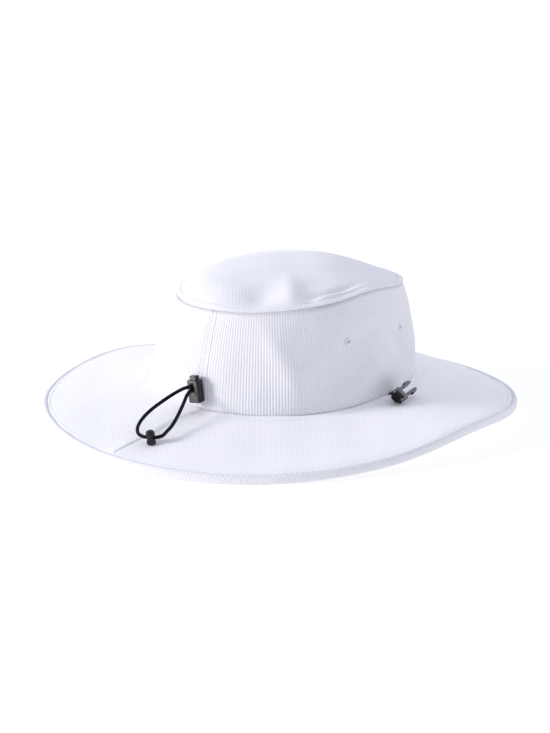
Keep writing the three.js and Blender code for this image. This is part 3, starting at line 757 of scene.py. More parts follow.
def cut(mesh, cutters):
    """The mesh with other closed meshes taken out of it."""
    target = new_object("cut_target", mesh)
    tools = [new_object(f"cut_tool_{i}", cutter) for i, cutter in enumerate(cutters)]
    for tool in tools:
        modifier = target.modifiers.new(tool.name, "BOOLEAN")
        modifier.operation, modifier.solver, modifier.object = "DIFFERENCE", "EXACT", tool
    return baked(target, *tools)


def cylinder_mesh(radius, length, sides, matrix):
    work = bmesh.new()
    bmesh.ops.create_cone(
        work, cap_ends=True, segments=sides, radius1=radius, radius2=radius, depth=length, matrix=matrix)
    mesh = bpy.data.meshes.new("cylinder")
    work.to_mesh(mesh)
    work.free()
    return mesh


vent_cutters = [
    cylinder_mesh(VENT_CUT_RADIUS, 4 * WALL_THICKNESS, 24, placed_matrix(vent_matrix(*place)))
    for place in VENTS.values()
]
wall_mesh = cut(wall_mesh, vent_cutters)
finish_mesh(wall_mesh, knit_cloth)
add_piece("crown_wall_cloth", wall_mesh, "hat", ["crown_side"])

# %% [markdown]
# ## Panels with slanting ribs
# The tip and the brim are flat panels cut from ribbed cloth. Their meshes start as lines
# that run along the ribs, five to a rib. Each line is cut off where it meets the panel's
# outline, and then lifted onto the form. The brim has a hole, so its lines come in a near
# and a far half, which share a line on both sides of the hole.

# %% Helpers for panels
LINES_PER_RIB = 5
SHORT_LINE = 0.040
SAME_PLACE = 1e-7
SLOPE_REACH = 0.0005


def outline_chains(level):
    """The two sides of a closed outline, as functions of the distance across the ribs."""
    across, along = level @ grain_across, level @ grain_along
    start, end = across.argmin(), across.argmax()
    first = np.roll(np.arange(len(level)), -start)
    split = (end - start) % len(level)
    sides = [first[:split + 1], np.append(first[split:], first[0])[::-1]]
    chains = [lambda u, s=s: np.interp(u, across[s], along[s]) for s in sides]
    middle = (across[start] + across[end]) / 2
    chains.sort(key=lambda chain: chain(middle))
    return chains, across[start], across[end]


def line_places(low, high):
    count = max(2, round((high - low) / (RIB_PITCH / LINES_PER_RIB)))
    return np.linspace(low, high, count + 1)


def row_places(start, end, from_start, from_end, between):
    """Rows from start to end of each line: some at set distances from both ends."""
    length = (end - start)[:, None]
    fit = np.minimum(1, length / SHORT_LINE)
    near = np.array(from_start)[None, :] * fit
    far = length - np.array(from_end)[None, :] * fit
    share = np.linspace(0, 1, between + 2)[None, 1:-1]
    middle = mix(near[:, -1:], far[:, -1:], share)
    return start[:, None] + np.concatenate([near, middle, far[:, ::-1]], 1)


def strip_faces(index):
    faces = np.stack([index[:-1, :-1], index[1:, :-1], index[1:, 1:], index[:-1, 1:]], -1)
    return faces.reshape(-1, 4)


def bridge_faces(top, bottom):
    return np.stack([top[:-1], bottom[:-1], bottom[1:], top[1:]], -1).reshape(-1, 4)


def panel_mesh(name, lines, parts, lift):
    """A closed panel. Each part has the rows of its upper and under faces, and the lines
    whose starts and ends lie on the panel's outline. lift says where a level place is."""
    points, faces, places = [], [], []
    count = 0
    for upper_rows, under_rows, starts, ends in parts:
        grids = []
        for rows, under in ((upper_rows, False), (under_rows, True)):
            across = np.broadcast_to(lines[:, None], rows.shape)
            level = across[..., None] * grain_across + rows[..., None] * grain_along
            points.append(lift(level[..., 0], level[..., 1], across, under).reshape(-1, 3))
            places.append(np.stack([across, rows], -1).reshape(-1, 2))
            index = np.arange(count, count + rows.size).reshape(rows.shape)
            count += rows.size
            grids.append(index)
            faces.append(strip_faces(index)[:, ::-1] if under else strip_faces(index))
        upper, under = grids
        faces.append(bridge_faces(upper[starts, 0], under[starts, 0]))
        faces.append(bridge_faces(upper[ends, -1], under[ends, -1])[:, ::-1])
    points, faces, places = np.concatenate(points), np.concatenate(faces), np.concatenate(places)
    return mesh_from(name, points, faces, places[faces], merge=SAME_PLACE)


def lifted(height_at, x, y, relief_height):
    """Points of a surface, pushed out along its slope by the relief."""
    z = height_at(x, y)
    slope_x = (height_at(x + SLOPE_REACH, y) - z) / SLOPE_REACH
    slope_y = (height_at(x, y + SLOPE_REACH) - z) / SLOPE_REACH
    size = np.sqrt(slope_x**2 + slope_y**2 + 1)
    return np.stack([
        x - slope_x / size * relief_height, y - slope_y / size * relief_height, z + relief_height / size], -1)


# %% [markdown]
# ## Crown tip
# The tip is an oval panel, domed by the stiffness of the cloth, with a few soft dents. A
# raised bead runs along its edge, just inside the lip at the top of the wall.

# %% Crown tip
TIP_EDGE = 0.0002
BEAD_WIDTH, BEAD_HEIGHT, BEAD_EDGE = 0.0037, 0.0006, 0.75
BEAD_GROOVE, BEAD_GROOVE_WIDTH = 0.0004, 0.0006
CALM_EDGE = 0.004
TIP_ROWS, TIP_UNDER_ROWS = 80, 8
tip_seam = wall_point(dense_angles, 1.0)[:-1, :2]
seam_turn = np.unwrap(np.arctan2(tip_seam[:, 1], tip_seam[:, 0]))
seam_radius = np.hypot(tip_seam[:, 0], tip_seam[:, 1])


def tip_place(x, y):
    """The angle and the share of the way out to the tip's seam, for a level place."""
    turn = np.mod(np.arctan2(y, x) - seam_turn[0], 2 * math.pi) + seam_turn[0]
    angle = np.interp(turn, seam_turn, dense_angles[:-1], right=dense_angles[-2])
    radius = np.interp(turn, seam_turn, seam_radius)
    return angle, np.hypot(x, y) / radius


def tip_surface(x, y):
    return tip_height(*tip_place(x, y))


def lift_tip(x, y, across, under):
    """The dome, with a raised bead along the seam and a stitched groove inside it."""
    if under:
        return lifted(tip_surface, x, y, np.full(x.shape, -TIP_THICKNESS))
    angle, out = tip_place(x, y)
    inside = (1 - out) * np.hypot(x, y) / np.maximum(out, 0.1)
    bead = 1 - (2 * inside / BEAD_WIDTH - 1) ** 2
    bead = np.where(inside < BEAD_WIDTH / 2, mix(bead, 1, BEAD_EDGE), bead)
    groove = np.exp(-(((inside - BEAD_WIDTH) / BEAD_GROOVE_WIDTH) ** 2))
    relief_height = cloth_relief(x, y, MIDDLE_HEIGHT) + crease_relief(TIP_CREASES, angle, out)
    relief_height = relief_height * smooth_step(inside / CALM_EDGE) + rib_relief(across, PANEL_RIB_HEIGHT)
    relief_height = relief_height + BEAD_HEIGHT * np.sqrt(np.maximum(bead, 0)) - BEAD_GROOVE * groove
    return lifted(tip_surface, x, y, relief_height)


BEAD_ROWS = (0, 0.0004, 0.0010, 0.0018, 0.0026, 0.0033, 0.0039, 0.0046, 0.0056, 0.0075)
tip_outline = tip_seam * (1 - TIP_EDGE / seam_radius)[:, None]
(tip_near, tip_far), tip_first, tip_last = outline_chains(tip_outline)
tip_lines = line_places(tip_first, tip_last)
tip_ends = tip_near(tip_lines), tip_far(tip_lines)
tip_rows = row_places(*tip_ends, BEAD_ROWS, BEAD_ROWS, TIP_ROWS)
tip_under_rows = row_places(*tip_ends, (0,), (0,), TIP_UNDER_ROWS)
all_tip_lines = np.arange(len(tip_lines))
tip_parts = [(tip_rows, tip_under_rows, all_tip_lines, all_tip_lines)]
tip_mesh = panel_mesh("crown_tip_cloth", tip_lines, tip_parts, lift_tip)
finish_mesh(tip_mesh, panel_cloth)
add_piece("crown_tip_cloth", tip_mesh, "hat", ["crown_tip"])

# %% [markdown]
# ## Brim
# Two layers of cloth, sewn together at the rim, with one straight seam at the back. Where a
# place lies beside the crown's oval is found by Newton's method, because no formula gives
# the nearest point of an ellipse.

# %% Brim
BRIM_TUCK = 0.0012
RIM_GROOVE, RIM_GROOVE_WIDTH = 0.0007, 0.0016
RIM_STITCH_INSET, CROWN_STITCH_OUT = 0.0024, 0.0060
STITCH_DENT, STITCH_DENT_WIDTH = 0.00028, 0.0008
BRIM_ROWS, BRIM_UNDER_ROWS = 12, 6
NEWTON_STEPS = 12


def oval_place(x, y):
    """The angle and distance out from the crown's oval, for a level place."""
    turn = np.arctan2(y / HALF_LENGTH, x / HALF_WIDTH)
    for _ in range(NEWTON_STEPS):
        cos, sin = np.cos(turn), np.sin(turn)
        to_x, to_y = x - HALF_WIDTH * cos, y - HALF_LENGTH * sin
        away = to_x * -HALF_WIDTH * sin + to_y * HALF_LENGTH * cos
        change = -(HALF_WIDTH * sin) ** 2 - (HALF_LENGTH * cos) ** 2
        change = change - to_x * HALF_WIDTH * cos - to_y * HALF_LENGTH * sin
        turn = turn - away / change
    angle = np.degrees(turn)
    normal = outward_at(angle)
    out = (x - HALF_WIDTH * np.cos(turn)) * normal[..., 0] + (y - HALF_LENGTH * np.sin(turn)) * normal[..., 1]
    return angle, out


def across_ribs(x, y):
    return x * grain_across[0] + y * grain_across[1]


def brim_surface(x, y):
    return brim_height(*oval_place(x, y))


def brim_relief(x, y, across):
    """Ribs, two stitched lines, and the groove beside the rim."""
    angle, out = oval_place(x, y)
    inside = reach_at(angle) - out
    relief_height = rib_relief(across, PANEL_RIB_HEIGHT) + cloth_relief(x, y, 0 * x)
    for distance in (inside - RIM_STITCH_INSET, out - CROWN_STITCH_OUT):
        relief_height = relief_height - STITCH_DENT * np.exp(-((distance / STITCH_DENT_WIDTH) ** 2))
    groove = smooth_step((RIM_GROOVE_WIDTH / 2 - inside) / RIM_GROOVE_WIDTH)
    return relief_height - RIM_GROOVE * groove


def lift_brim(x, y, across, under):
    relief_height = brim_relief(x, y, across)
    if under:
        relief_height = -BRIM_THICKNESS + 0 * relief_height
    return lifted(brim_surface, x, y, relief_height)


brim_outer = oval_point(dense_angles, reach_at(dense_angles) + BRIM_TUCK, 0)[:-1, :2]
brim_inner = oval_point(dense_angles, -WALL_THICKNESS, 0)[:-1, :2]
(outer_near, outer_far), outer_first, outer_last = outline_chains(brim_outer)
(inner_near, inner_far), inner_first, inner_last = outline_chains(brim_inner)
brim_lines = np.concatenate([
    line_places(outer_first, inner_first)[:-1],
    line_places(inner_first, inner_last),
    line_places(inner_last, outer_last)[1:],
])
beside_first = (brim_lines - outer_first) / (inner_first - outer_first)
beside_last = (outer_last - brim_lines) / (outer_last - inner_last)


def spine(inner):
    """The line's inner end: on the hole, or beside it on a straight line to the rim."""
    first = mix(outer_near(outer_first), inner(inner_first), beside_first)
    last = mix(outer_near(outer_last), inner(inner_last), beside_last)
    ends = np.where(brim_lines < inner_first, first, inner(brim_lines))
    return np.where(brim_lines > inner_last, last, ends)


OUTER_ROWS = (0, 0.0007, 0.0014, 0.0022, 0.0030, 0.0038, 0.0048, 0.0064, 0.0090)
INNER_ROWS = (0, 0.0030, 0.0050, 0.0065, 0.0080, 0.0095, 0.0120)
beside_hole = np.flatnonzero((brim_lines >= inner_first) & (brim_lines <= inner_last))
all_brim_lines = np.arange(len(brim_lines))
near_ends = outer_near(brim_lines), spine(inner_near)
far_ends = spine(inner_far), outer_far(brim_lines)
brim_halves = [
    (
        row_places(*near_ends, OUTER_ROWS, INNER_ROWS, BRIM_ROWS),
        row_places(*near_ends, (0,), (0,), BRIM_UNDER_ROWS),
        all_brim_lines, beside_hole,
    ),
    (
        row_places(*far_ends, INNER_ROWS, OUTER_ROWS, BRIM_ROWS),
        row_places(*far_ends, (0,), (0,), BRIM_UNDER_ROWS),
        beside_hole, all_brim_lines,
    ),
]
brim_mesh = panel_mesh("brim_cloth", brim_lines, brim_halves, lift_brim)
finish_mesh(brim_mesh, brim_knit_painted_lighter)
add_piece("brim_cloth", brim_mesh, "hat", ["brim"])

# %% [markdown]
# ## Back seam of the brim
# At the back one end of the brim's cloth is turned under and laid over the other. The upper
# layer ends in a folded edge, highest near the rim, and lies flat again a finger's width
# away. It is a thin wedge of its own, because the brim's lines cross the seam at a slant
# and are too far apart to draw its edge.

# %% Back seam of the brim
FOLD_NEAR_CROWN, FOLD_NEAR_RIM = -0.0060, 0.0042
FOLD_WIDTH, FOLD_SINK, FOLD_ROUNDING = 0.012, 0.0005, 0.0006
FOLD_LOW, FOLD_HIGH = 0.00035, 0.00085
FOLD_CELL = 0.0005
FOLD_START, FOLD_STOP, FOLD_TILT = 0.0004, 0.0016, 0.02


def fold_place(run, side):
    """A level place at a share of the way out along the seam, and a distance beside it."""
    edge_x = mix(FOLD_NEAR_CROWN, FOLD_NEAR_RIM, run)
    out = FOLD_START + run * (reach_at(SEAM_ANGLE) - FOLD_STOP)
    return edge_x + side, HALF_LENGTH + out - side * FOLD_TILT


def fold_top(run, side):
    x, y = fold_place(run, side)
    high = mix(FOLD_LOW, FOLD_HIGH, smooth_step(run * 1.4 - 0.3))
    lift = high * np.cos(np.clip(side / FOLD_WIDTH, 0, 1) * math.pi / 2) ** 1.5 - FOLD_SINK / 3
    rounding = high * (1 - np.sqrt(1 - np.clip(1 - side / FOLD_ROUNDING, 0, 1) ** 2))
    relief_height = brim_relief(x, y, across_ribs(x, y))
    return lifted(brim_surface, x, y, relief_height + lift - rounding)


fold_runs = np.linspace(0, 1, round(reach_at(SEAM_ANGLE) / FOLD_CELL))[:, None]
fold_sides = np.concatenate([[0, 0.00005, 0.00015, 0.0003, 0.0006], np.arange(0.001, FOLD_WIDTH, FOLD_CELL)])
fold_upper = fold_top(fold_runs, fold_sides[None, :])
fold_under = lifted(brim_surface, *fold_place(fold_runs, fold_sides[None, :]), -FOLD_SINK)
fold_index = np.arange(fold_upper[..., 0].size).reshape(fold_upper.shape[:2])
under_index = fold_index + fold_index.size
fold_faces = np.concatenate([
    strip_faces(fold_index)[:, ::-1],
    strip_faces(under_index),
    bridge_faces(fold_index[:, 0], under_index[:, 0])[:, ::-1],
    bridge_faces(fold_index[:, -1], under_index[:, -1]),
    bridge_faces(fold_index[0], under_index[0]),
    bridge_faces(fold_index[-1], under_index[-1])[:, ::-1],
])
fold_level = np.stack(np.broadcast_arrays(*fold_place(fold_runs, fold_sides[None, :])), -1)
fold_grain = np.stack([fold_level @ grain_across, fold_level @ grain_along], -1).reshape(-1, 2)
fold_grain = np.concatenate([fold_grain, fold_grain])
fold_mesh = mesh_from(
    "brim_seam_fold", np.concatenate([fold_upper.reshape(-1, 3), fold_under.reshape(-1, 3)]),
    fold_faces, fold_grain[fold_faces])
finish_mesh(fold_mesh, brim_knit_painted_lighter)
add_piece("brim_seam_fold", fold_mesh, "hat")

# %% [markdown]
# ## Rim
# A band of the same cloth is folded round the brim's edge. Its ribs cross it and lean a
# little, because the band was cut on a slant too. So each column of its mesh leans.

# %% Rim
RIM_SLANT = 0.36
RIM_COLUMNS_PER_RIB = 5
RIM_SECTION_STEPS = 16
RIM_RIB_SHARE = 0.08
RIM_CLEARANCE = 0.00002


def even_angles(line, places):
    """Angles at shares of the way round a closed line that was sampled at dense_angles."""
    length = run_along(line)
    return np.interp(np.mod(places, 1) * length[-1], length, dense_angles), length[-1]


rim_line = rim_point(dense_angles, 0.5)
rim_ribs = round(even_angles(rim_line, 0)[1] / RIB_PITCH)
rim_columns = rim_ribs * RIM_COLUMNS_PER_RIB
rim_pattern = np.arange(rim_columns + 1) / RIM_COLUMNS_PER_RIB * RIB_PITCH
section_places = np.arange(RIM_SECTION_STEPS) / RIM_SECTION_STEPS
section_down = closed_curve([p[1] for p in RIM_OUTLINE], section_places * len(RIM_OUTLINE))
lean = RIM_SLANT * RIM_DROP * (1 - section_down) / (rim_ribs * RIB_PITCH)
rim_angles, _ = even_angles(rim_line, np.arange(rim_columns)[:, None] / rim_columns + lean[None, :])
proud = RIM_RIB_SHARE * rib_relief(rim_pattern[:-1])[:, None] / RIB_HEIGHT
rim_points = rim_point(rim_angles, section_places[None, :], proud)
rim_points[..., 2] = np.maximum(rim_points[..., 2], RIM_CLEARANCE - HAT_SHIFT[2])
section_run = np.arange(RIM_SECTION_STEPS + 1) / RIM_SECTION_STEPS * 2 * (RIM_DROP + RIM_THICKNESS)
rim_mesh = ring_mesh("rim_cloth", rim_points, rim_pattern, section_run)
finish_mesh(rim_mesh, turned_cloth)
add_piece("rim_cloth", rim_mesh, "hat", ["brim_rim"])
print("ribs round the rim:", rim_ribs)

# %% [markdown]
# ## Stitches
# White thread shows where the panels are topstitched. Each row of stitches is first a line
# of points that lies on the cloth, beside a seam.

# %% Rows of stitches
STITCH_PITCH, STITCH_LENGTH, STITCH_THICKNESS = 0.0030, 0.0023, 0.00042
STITCH_SIT = 0.00005
BACK_SEAM_STITCH_OUT = 0.0032
ROW_STEPS, SEAM_ROW_STEPS = 900, 60


def brim_row(angle, out):
    """Points on the brim's cloth at an angle and a distance out from the crown."""
    place = oval_point(angle, out, 0)
    x, y = place[..., 0], place[..., 1]
    relief_height = brim_relief(x, y, across_ribs(x, y))
    return lifted(brim_surface, x, y, relief_height + STITCH_SIT)


def tip_row(angle, inside):
    level = wall_point(angle, 1.0)[..., :2]
    level = level * (1 - inside / np.linalg.norm(level, axis=-1))[..., None]
    x, y = level[..., 0], level[..., 1]
    return lift_tip(x, y, across_ribs(x, y), False)


def wall_row(distance, rise):
    angle = oval_angle(distance)
    return wall_point(angle, rise, wall_relief(distance, angle, rise) + STITCH_SIT)


row_angles = np.linspace(0, 360, ROW_STEPS, endpoint=False)
row_rises = np.linspace(0.03, 0.95, SEAM_ROW_STEPS)
stitch_rows = [
    (brim_row(row_angles, reach_at(row_angles) - RIM_STITCH_INSET), True),
    (brim_row(row_angles, CROWN_STITCH_OUT), True),
    (tip_row(row_angles, BEAD_WIDTH + TIP_EDGE), True),
    (wall_row(np.full(SEAM_ROW_STEPS, BACK_SEAM_STITCH_OUT), row_rises), False),
    (wall_row(np.full(SEAM_ROW_STEPS, -BACK_SEAM_STITCH_OUT), row_rises), False),
]


# %% [markdown]
# A loop could place the stitches one by one. A Geometry Nodes tree lays one every few
# millimetres on all the rows at once. It has named inputs and a fixed seed, so another hat
# could reuse it. The result is kept as a plain mesh.

# %% A stitch tree in Geometry Nodes
STITCH_INPUTS = {
    "Lines": "Geometry", "Pitch": "Float", "Length": "Float", "Thickness": "Float",
    "Unevenness": "Float", "Seed": "Int", "Thread": "Material",
}


def stitch_tree():
    tree = bpy.data.node_groups.new("stitches along lines", "GeometryNodeTree")
    face = tree.interface
    for name, kind in STITCH_INPUTS.items():
        face.new_socket(name, in_out="INPUT", socket_type=f"NodeSocket{kind}")
    face.new_socket("Stitches", in_out="OUTPUT", socket_type="NodeSocketGeometry")
    make, link = tree.nodes.new, tree.links.new
    given, result = make("NodeGroupInput"), make("NodeGroupOutput")
    to_curve, resample = make("GeometryNodeMeshToCurve"), make("GeometryNodeResampleCurve")
    resample.mode = "LENGTH"
    link(given.outputs["Lines"], to_curve.inputs["Mesh"])
    link(to_curve.outputs["Curve"], resample.inputs["Curve"])
    link(given.outputs["Pitch"], resample.inputs["Length"])
    bead = make("GeometryNodeMeshUVSphere")
    bead.inputs["Segments"].default_value = 8
    bead.inputs["Rings"].default_value = 6
    bead.inputs["Radius"].default_value = 0.5
    size = make("ShaderNodeCombineXYZ")
    for axis in (0, 1):
        link(given.outputs["Thickness"], size.inputs[axis])
    link(given.outputs["Length"], size.inputs[2])
    stretch = make("GeometryNodeTransform")
    link(bead.outputs["Mesh"], stretch.inputs["Geometry"])
    link(size.outputs[0], stretch.inputs["Scale"])
    jitter = make("FunctionNodeRandomValue")
    jitter.data_type = "FLOAT_VECTOR"
    spread = add_node(tree, "ShaderNodeVectorMath", [(1, 1, 1)], operation="SCALE")
    link(given.outputs["Unevenness"], spread.inputs["Scale"])
    lower = add_node(tree, "ShaderNodeVectorMath", [(1, 1, 1), spread.outputs[0]], operation="SUBTRACT")
    upper = add_node(tree, "ShaderNodeVectorMath", [(1, 1, 1), spread.outputs[0]], operation="ADD")
    link(lower.outputs[0], jitter.inputs[0])
    link(upper.outputs[0], jitter.inputs[1])
    link(given.outputs["Seed"], jitter.inputs["Seed"])
    aim_along = make("FunctionNodeAlignRotationToVector")
    aim_along.axis = "Z"
    link(make("GeometryNodeInputTangent").outputs[0], aim_along.inputs["Vector"])
    place = make("GeometryNodeInstanceOnPoints")
    link(resample.outputs["Curve"], place.inputs["Points"])
    link(stretch.outputs["Geometry"], place.inputs["Instance"])
    link(aim_along.outputs["Rotation"], place.inputs["Rotation"])
    link(jitter.outputs[0], place.inputs["Scale"])
    realize, paint = make("GeometryNodeRealizeInstances"), make("GeometryNodeSetMaterial")
    link(place.outputs["Instances"], realize.inputs["Geometry"])
    link(realize.outputs["Geometry"], paint.inputs["Geometry"])
    link(given.outputs["Thread"], paint.inputs["Material"])
    link(paint.outputs["Geometry"], result.inputs["Stitches"])
    return tree


def run_tree(mesh, tree, **inputs):
    """The plain mesh that a Geometry Nodes tree makes from a mesh."""
    carrier = new_object("carrier", mesh)
    modifier = carrier.modifiers.new("tree", "NODES")
    modifier.node_group = tree
    for item in tree.interface.items_tree:
        if item.in_out == "INPUT" and item.name in inputs:
            modifier[item.identifier] = inputs[item.name]
    return baked(carrier)


def rows_mesh(rows):
    points, edges, count = [], [], 0
    for row, closed in rows:
        index = np.arange(count, count + len(row))
        edges += list(zip(index[:-1].tolist(), index[1:].tolist()))
        edges += [(int(index[-1]), int(index[0]))] if closed else []
        points += (row + HAT_SHIFT).tolist()
        count += len(row)
    mesh = bpy.data.meshes.new("stitch_rows")
    mesh.from_pydata(points, edges, [])
    return mesh


stitch_mesh = run_tree(
    rows_mesh(stitch_rows), stitch_tree(),
    Pitch=STITCH_PITCH, Length=STITCH_LENGTH, Thickness=STITCH_THICKNESS,
    Unevenness=0.08, Seed=4, Thread=white_thread)
finish_mesh(stitch_mesh, white_thread)
add_piece("stitches", stitch_mesh, "hat")

# %% [markdown]
# ## Vent eyelets
# Each vent is a small hole bound with thread, like a buttonhole. The wraps of thread are
# ridges round a flattened ring, the same on both faces of the cloth, with a short tube of
# thread between them.

# %% Eyelets
EYELET_RADIUS, EYELET_BAND, EYELET_HEIGHT = 0.0017, 0.0008, 0.00055
EYELET_WRAPS, STEPS_PER_WRAP = 28, 4
WRAP_RELIEF = 0.16
BARREL_RADIUS = 0.0015
EYELET_LIFT, HOLE_DEPTHS, SECTION_STEP = 0.0001, (-0.0006, -0.0014), 0.0002


def eyelet_mesh(name, matrix, seed):
    """A closed ring-shaped mesh, turned round the hole's axis."""
    rng = np.random.default_rng(seed)
    steps = EYELET_WRAPS * STEPS_PER_WRAP
    turn = np.arange(steps) / steps * 2 * math.pi
    ridge = np.abs(np.sin(turn * EYELET_WRAPS / 2)) ** 0.6
    ridge = ridge * np.repeat(rng.uniform(0.7, 1.3, EYELET_WRAPS), STEPS_PER_WRAP)
    swell = 1 + WRAP_RELIEF * (ridge[:, None] - 0.5)
    arc = np.linspace(0, math.pi, 9)
    over_r = EYELET_RADIUS + EYELET_BAND * np.cos(arc) * swell
    over_z = EYELET_LIFT + EYELET_HEIGHT * np.sin(arc) * swell
    hole = np.full((steps, 2), VENT_HOLE_RADIUS)
    hole_z = np.broadcast_to(HOLE_DEPTHS, (steps, 2))
    under_r, under_z = over_r[:, ::-1], -WALL_THICKNESS - over_z[:, ::-1]
    barrel = np.full((steps, 2), BARREL_RADIUS)
    barrel_z = hole_z[:, ::-1]
    radius = np.concatenate([over_r, hole, under_r, barrel], 1)
    height = np.concatenate([over_z, hole_z, under_z, barrel_z], 1)
    local = np.stack([radius * np.cos(turn)[:, None], radius * np.sin(turn)[:, None], height], -1)
    points = local @ np.array(matrix.to_3x3()).T + np.array(matrix.translation)
    around_run = np.arange(steps + 1) * RIB_PITCH / STEPS_PER_WRAP
    return ring_mesh(name, points, around_run, np.arange(points.shape[1] + 1) * SECTION_STEP)


for seed, (name, place) in enumerate(VENTS.items()):
    eyelet = eyelet_mesh(f"{name}_thread", vent_matrix(*place), seed)
    finish_mesh(eyelet, white_thread)
    add_piece(f"{name}_thread", eyelet, "hat", [name])

# %% [markdown]
# ## Moulded fittings
# The cord lock, its button, the stopper and the two clips are moulded in glossy black
# plastic. Small rounded edges matter most here, because they catch the light. A shape is
# first drawn as an outline with rounded corners, then raised with rounded edges, and holes
# are cut last and softened with a narrow bevel.

# %% Helpers for moulded shapes
CUT_EDGE_BEVEL, BEVEL_ANGLE = 0.00018, 32
CORNER_STEPS, CORNER_SHARE, EDGE_STEPS = 6, 0.45, 5
PLASTIC_SHARP, TAPE_SHARP = 40, 50
PAINTED_REFLECTION_FACING = 0.9


def rounded_outline(corners, rounding):
    """A closed outline with every corner rounded off, going the same way round."""
    corners = np.asarray(corners, float)
    outline = []
    for i, corner in enumerate(corners):
        before, after = corners[i - 1], corners[(i + 1) % len(corners)]
        to_before, to_after = before - corner, after - corner
        far_before, far_after = np.linalg.norm(to_before), np.linalg.norm(to_after)
        reach = min(rounding, CORNER_SHARE * far_before, CORNER_SHARE * far_after)
        start = corner + to_before / far_before * reach
        end = corner + to_after / far_after * reach
        for t in np.linspace(0, 1, CORNER_STEPS):
            outline.append((1 - t) ** 2 * start + 2 * t * (1 - t) * corner + t**2 * end)
    return np.array(outline)


def inset_outline(outline, distance):
    """The outline moved inwards. It goes anticlockwise."""
    run = np.roll(outline, -1, 0) - np.roll(outline, 1, 0)
    run = run / np.linalg.norm(run, axis=1, keepdims=True)
    return outline + distance[:, None] * np.stack([-run[:, 1], run[:, 0]], -1)


def raised_mesh(outline, low, high, edge, matrix):
    """A solid between two heights with the given outline and rounded edges."""
    edge = np.broadcast_to(np.asarray(edge, float), len(outline))
    bend = np.linspace(0, math.pi / 2, EDGE_STEPS) if edge.any() else np.array([math.pi / 2])
    levels = [(low + edge * (1 - math.cos(b)), edge * (1 - math.sin(b))) for b in bend]
    levels += [(high + low - height, inset) for height, inset in levels[::-1]]
    rings = []
    for height, inset in levels:
        rings.append(np.column_stack([inset_outline(outline, inset), height]))
    index, _, faces = ring_faces(len(rings), len(outline))
    faces += [index[0, ::-1].tolist(), index[-1].tolist()]
    mesh = bpy.data.meshes.new("raised")
    mesh.from_pydata(np.concatenate(rings).tolist(), [], faces)
    work = bmesh.new()
    work.from_mesh(mesh)
    caps = [face for face in work.faces if len(face.verts) > 4]
    bmesh.ops.triangulate(work, faces=caps, ngon_method="EAR_CLIP")
    work.to_mesh(mesh)
    work.free()
    mesh.transform(matrix)
    return mesh


def block_mesh(width, depth, low, high, rounding, edge, matrix):
    x, y = width / 2, depth / 2
    outline = rounded_outline([(x, -y), (x, y), (-x, y), (-x, -y)], rounding)
    return raised_mesh(outline, low, high, edge, matrix)


def softened(mesh):
    """The mesh with a narrow bevel on its sharp edges."""
    carrier = new_object("carrier", mesh)
    bevel = carrier.modifiers.new("soft edges", "BEVEL")
    bevel.width, bevel.segments = CUT_EDGE_BEVEL, 2
    bevel.limit_method, bevel.angle_limit = "ANGLE", math.radians(BEVEL_ANGLE)
    return baked(carrier)


def mark_painted_reflection(mesh, direction):
    """Marks the faces that look along a direction, or straight against it, for a painted reflection."""
    normals = np.array([face.normal for face in mesh.polygons])
    facing = np.abs(normals @ np.array(Vector(direction).normalized())) > PAINTED_REFLECTION_FACING
    mark = mesh.attributes.new("painted_reflection", "FLOAT", "FACE")
    mark.data.foreach_set("value", facing.astype(np.float32))


def add_moulding(name, mesh, cutters, facing, body, node):
    """Cuts a shape, softens its edges, marks the faces of its painted reflection, and adds it as a piece of
    black plastic.
    """
    shape = softened(cut(mesh, cutters))
    mark_painted_reflection(shape, facing)
    finish_mesh(shape, black_plastic, PLASTIC_SHARP)
    add_piece(name, shape, body, [node])


def turned_mesh(profile, steps, matrix):
    """A solid turned round z from a profile that starts and ends on the axis."""
    turn = np.arange(steps) / steps * 2 * math.pi
    ring = np.stack([np.cos(turn), np.sin(turn)], -1)
    rows = [np.column_stack([radius * ring, np.full(steps, height)]) for radius, height in profile[1:-1]]
    index, following, faces = ring_faces(len(rows), steps)
    base, top = index.size, index.size + 1
    faces += [(base, following[0, j], index[0, j]) for j in range(steps)]
    faces += [(top, index[-1, j], following[-1, j]) for j in range(steps)]
    ends = [(0, 0, profile[0][1]), (0, 0, profile[-1][1])]
    mesh = bpy.data.meshes.new("turned")
    mesh.from_pydata([*np.concatenate(rows).tolist(), *ends], [], faces)
    mesh.transform(matrix)
    return mesh


# %% [markdown]
# ## Cord lock
# A block with a window for the two strands of cord, and a sprung button that pinches them.
# The button's own window is taller than the strands by the button's travel. Pressing it
# lines the windows up and lets the cord slide.

# %% Cord lock and its button
LOCK_WIDTH, LOCK_DEPTH, LOCK_HEIGHT = 0.0090, 0.0074, 0.0152
LOCK_ROUNDING, LOCK_EDGE = 0.0022, 0.0009
LOCK_ANGLE, LOCK_RISE, LOCK_LEAN = 93.6, 0.0053, math.radians(7)
BUTTON_WIDTH, BUTTON_DEPTH = 0.0056, 0.0044
BUTTON_ROUNDING, BUTTON_EDGE = 0.0013, 0.0006
BUTTON_STAND_OUT, BUTTON_TRAVEL, BUTTON_SEAT = 0.0028, 0.0018, 0.0014
FIT_GAP, REST_GAP = 0.0003, 0.0004
CORD_SPACING, CORD_RISE = 0.0029, 0.0102
CORD_BORE = CORD_DIAMETER + 2 * FIT_GAP


def axes_matrix(x, y, z, centre):
    matrix = Matrix((Vector(x), Vector(y), Vector(z))).transposed().to_4x4()
    matrix.translation = Vector(centre)
    return matrix


def level_outward(angle):
    return Vector((*outward_at(np.float64(angle)), 0))


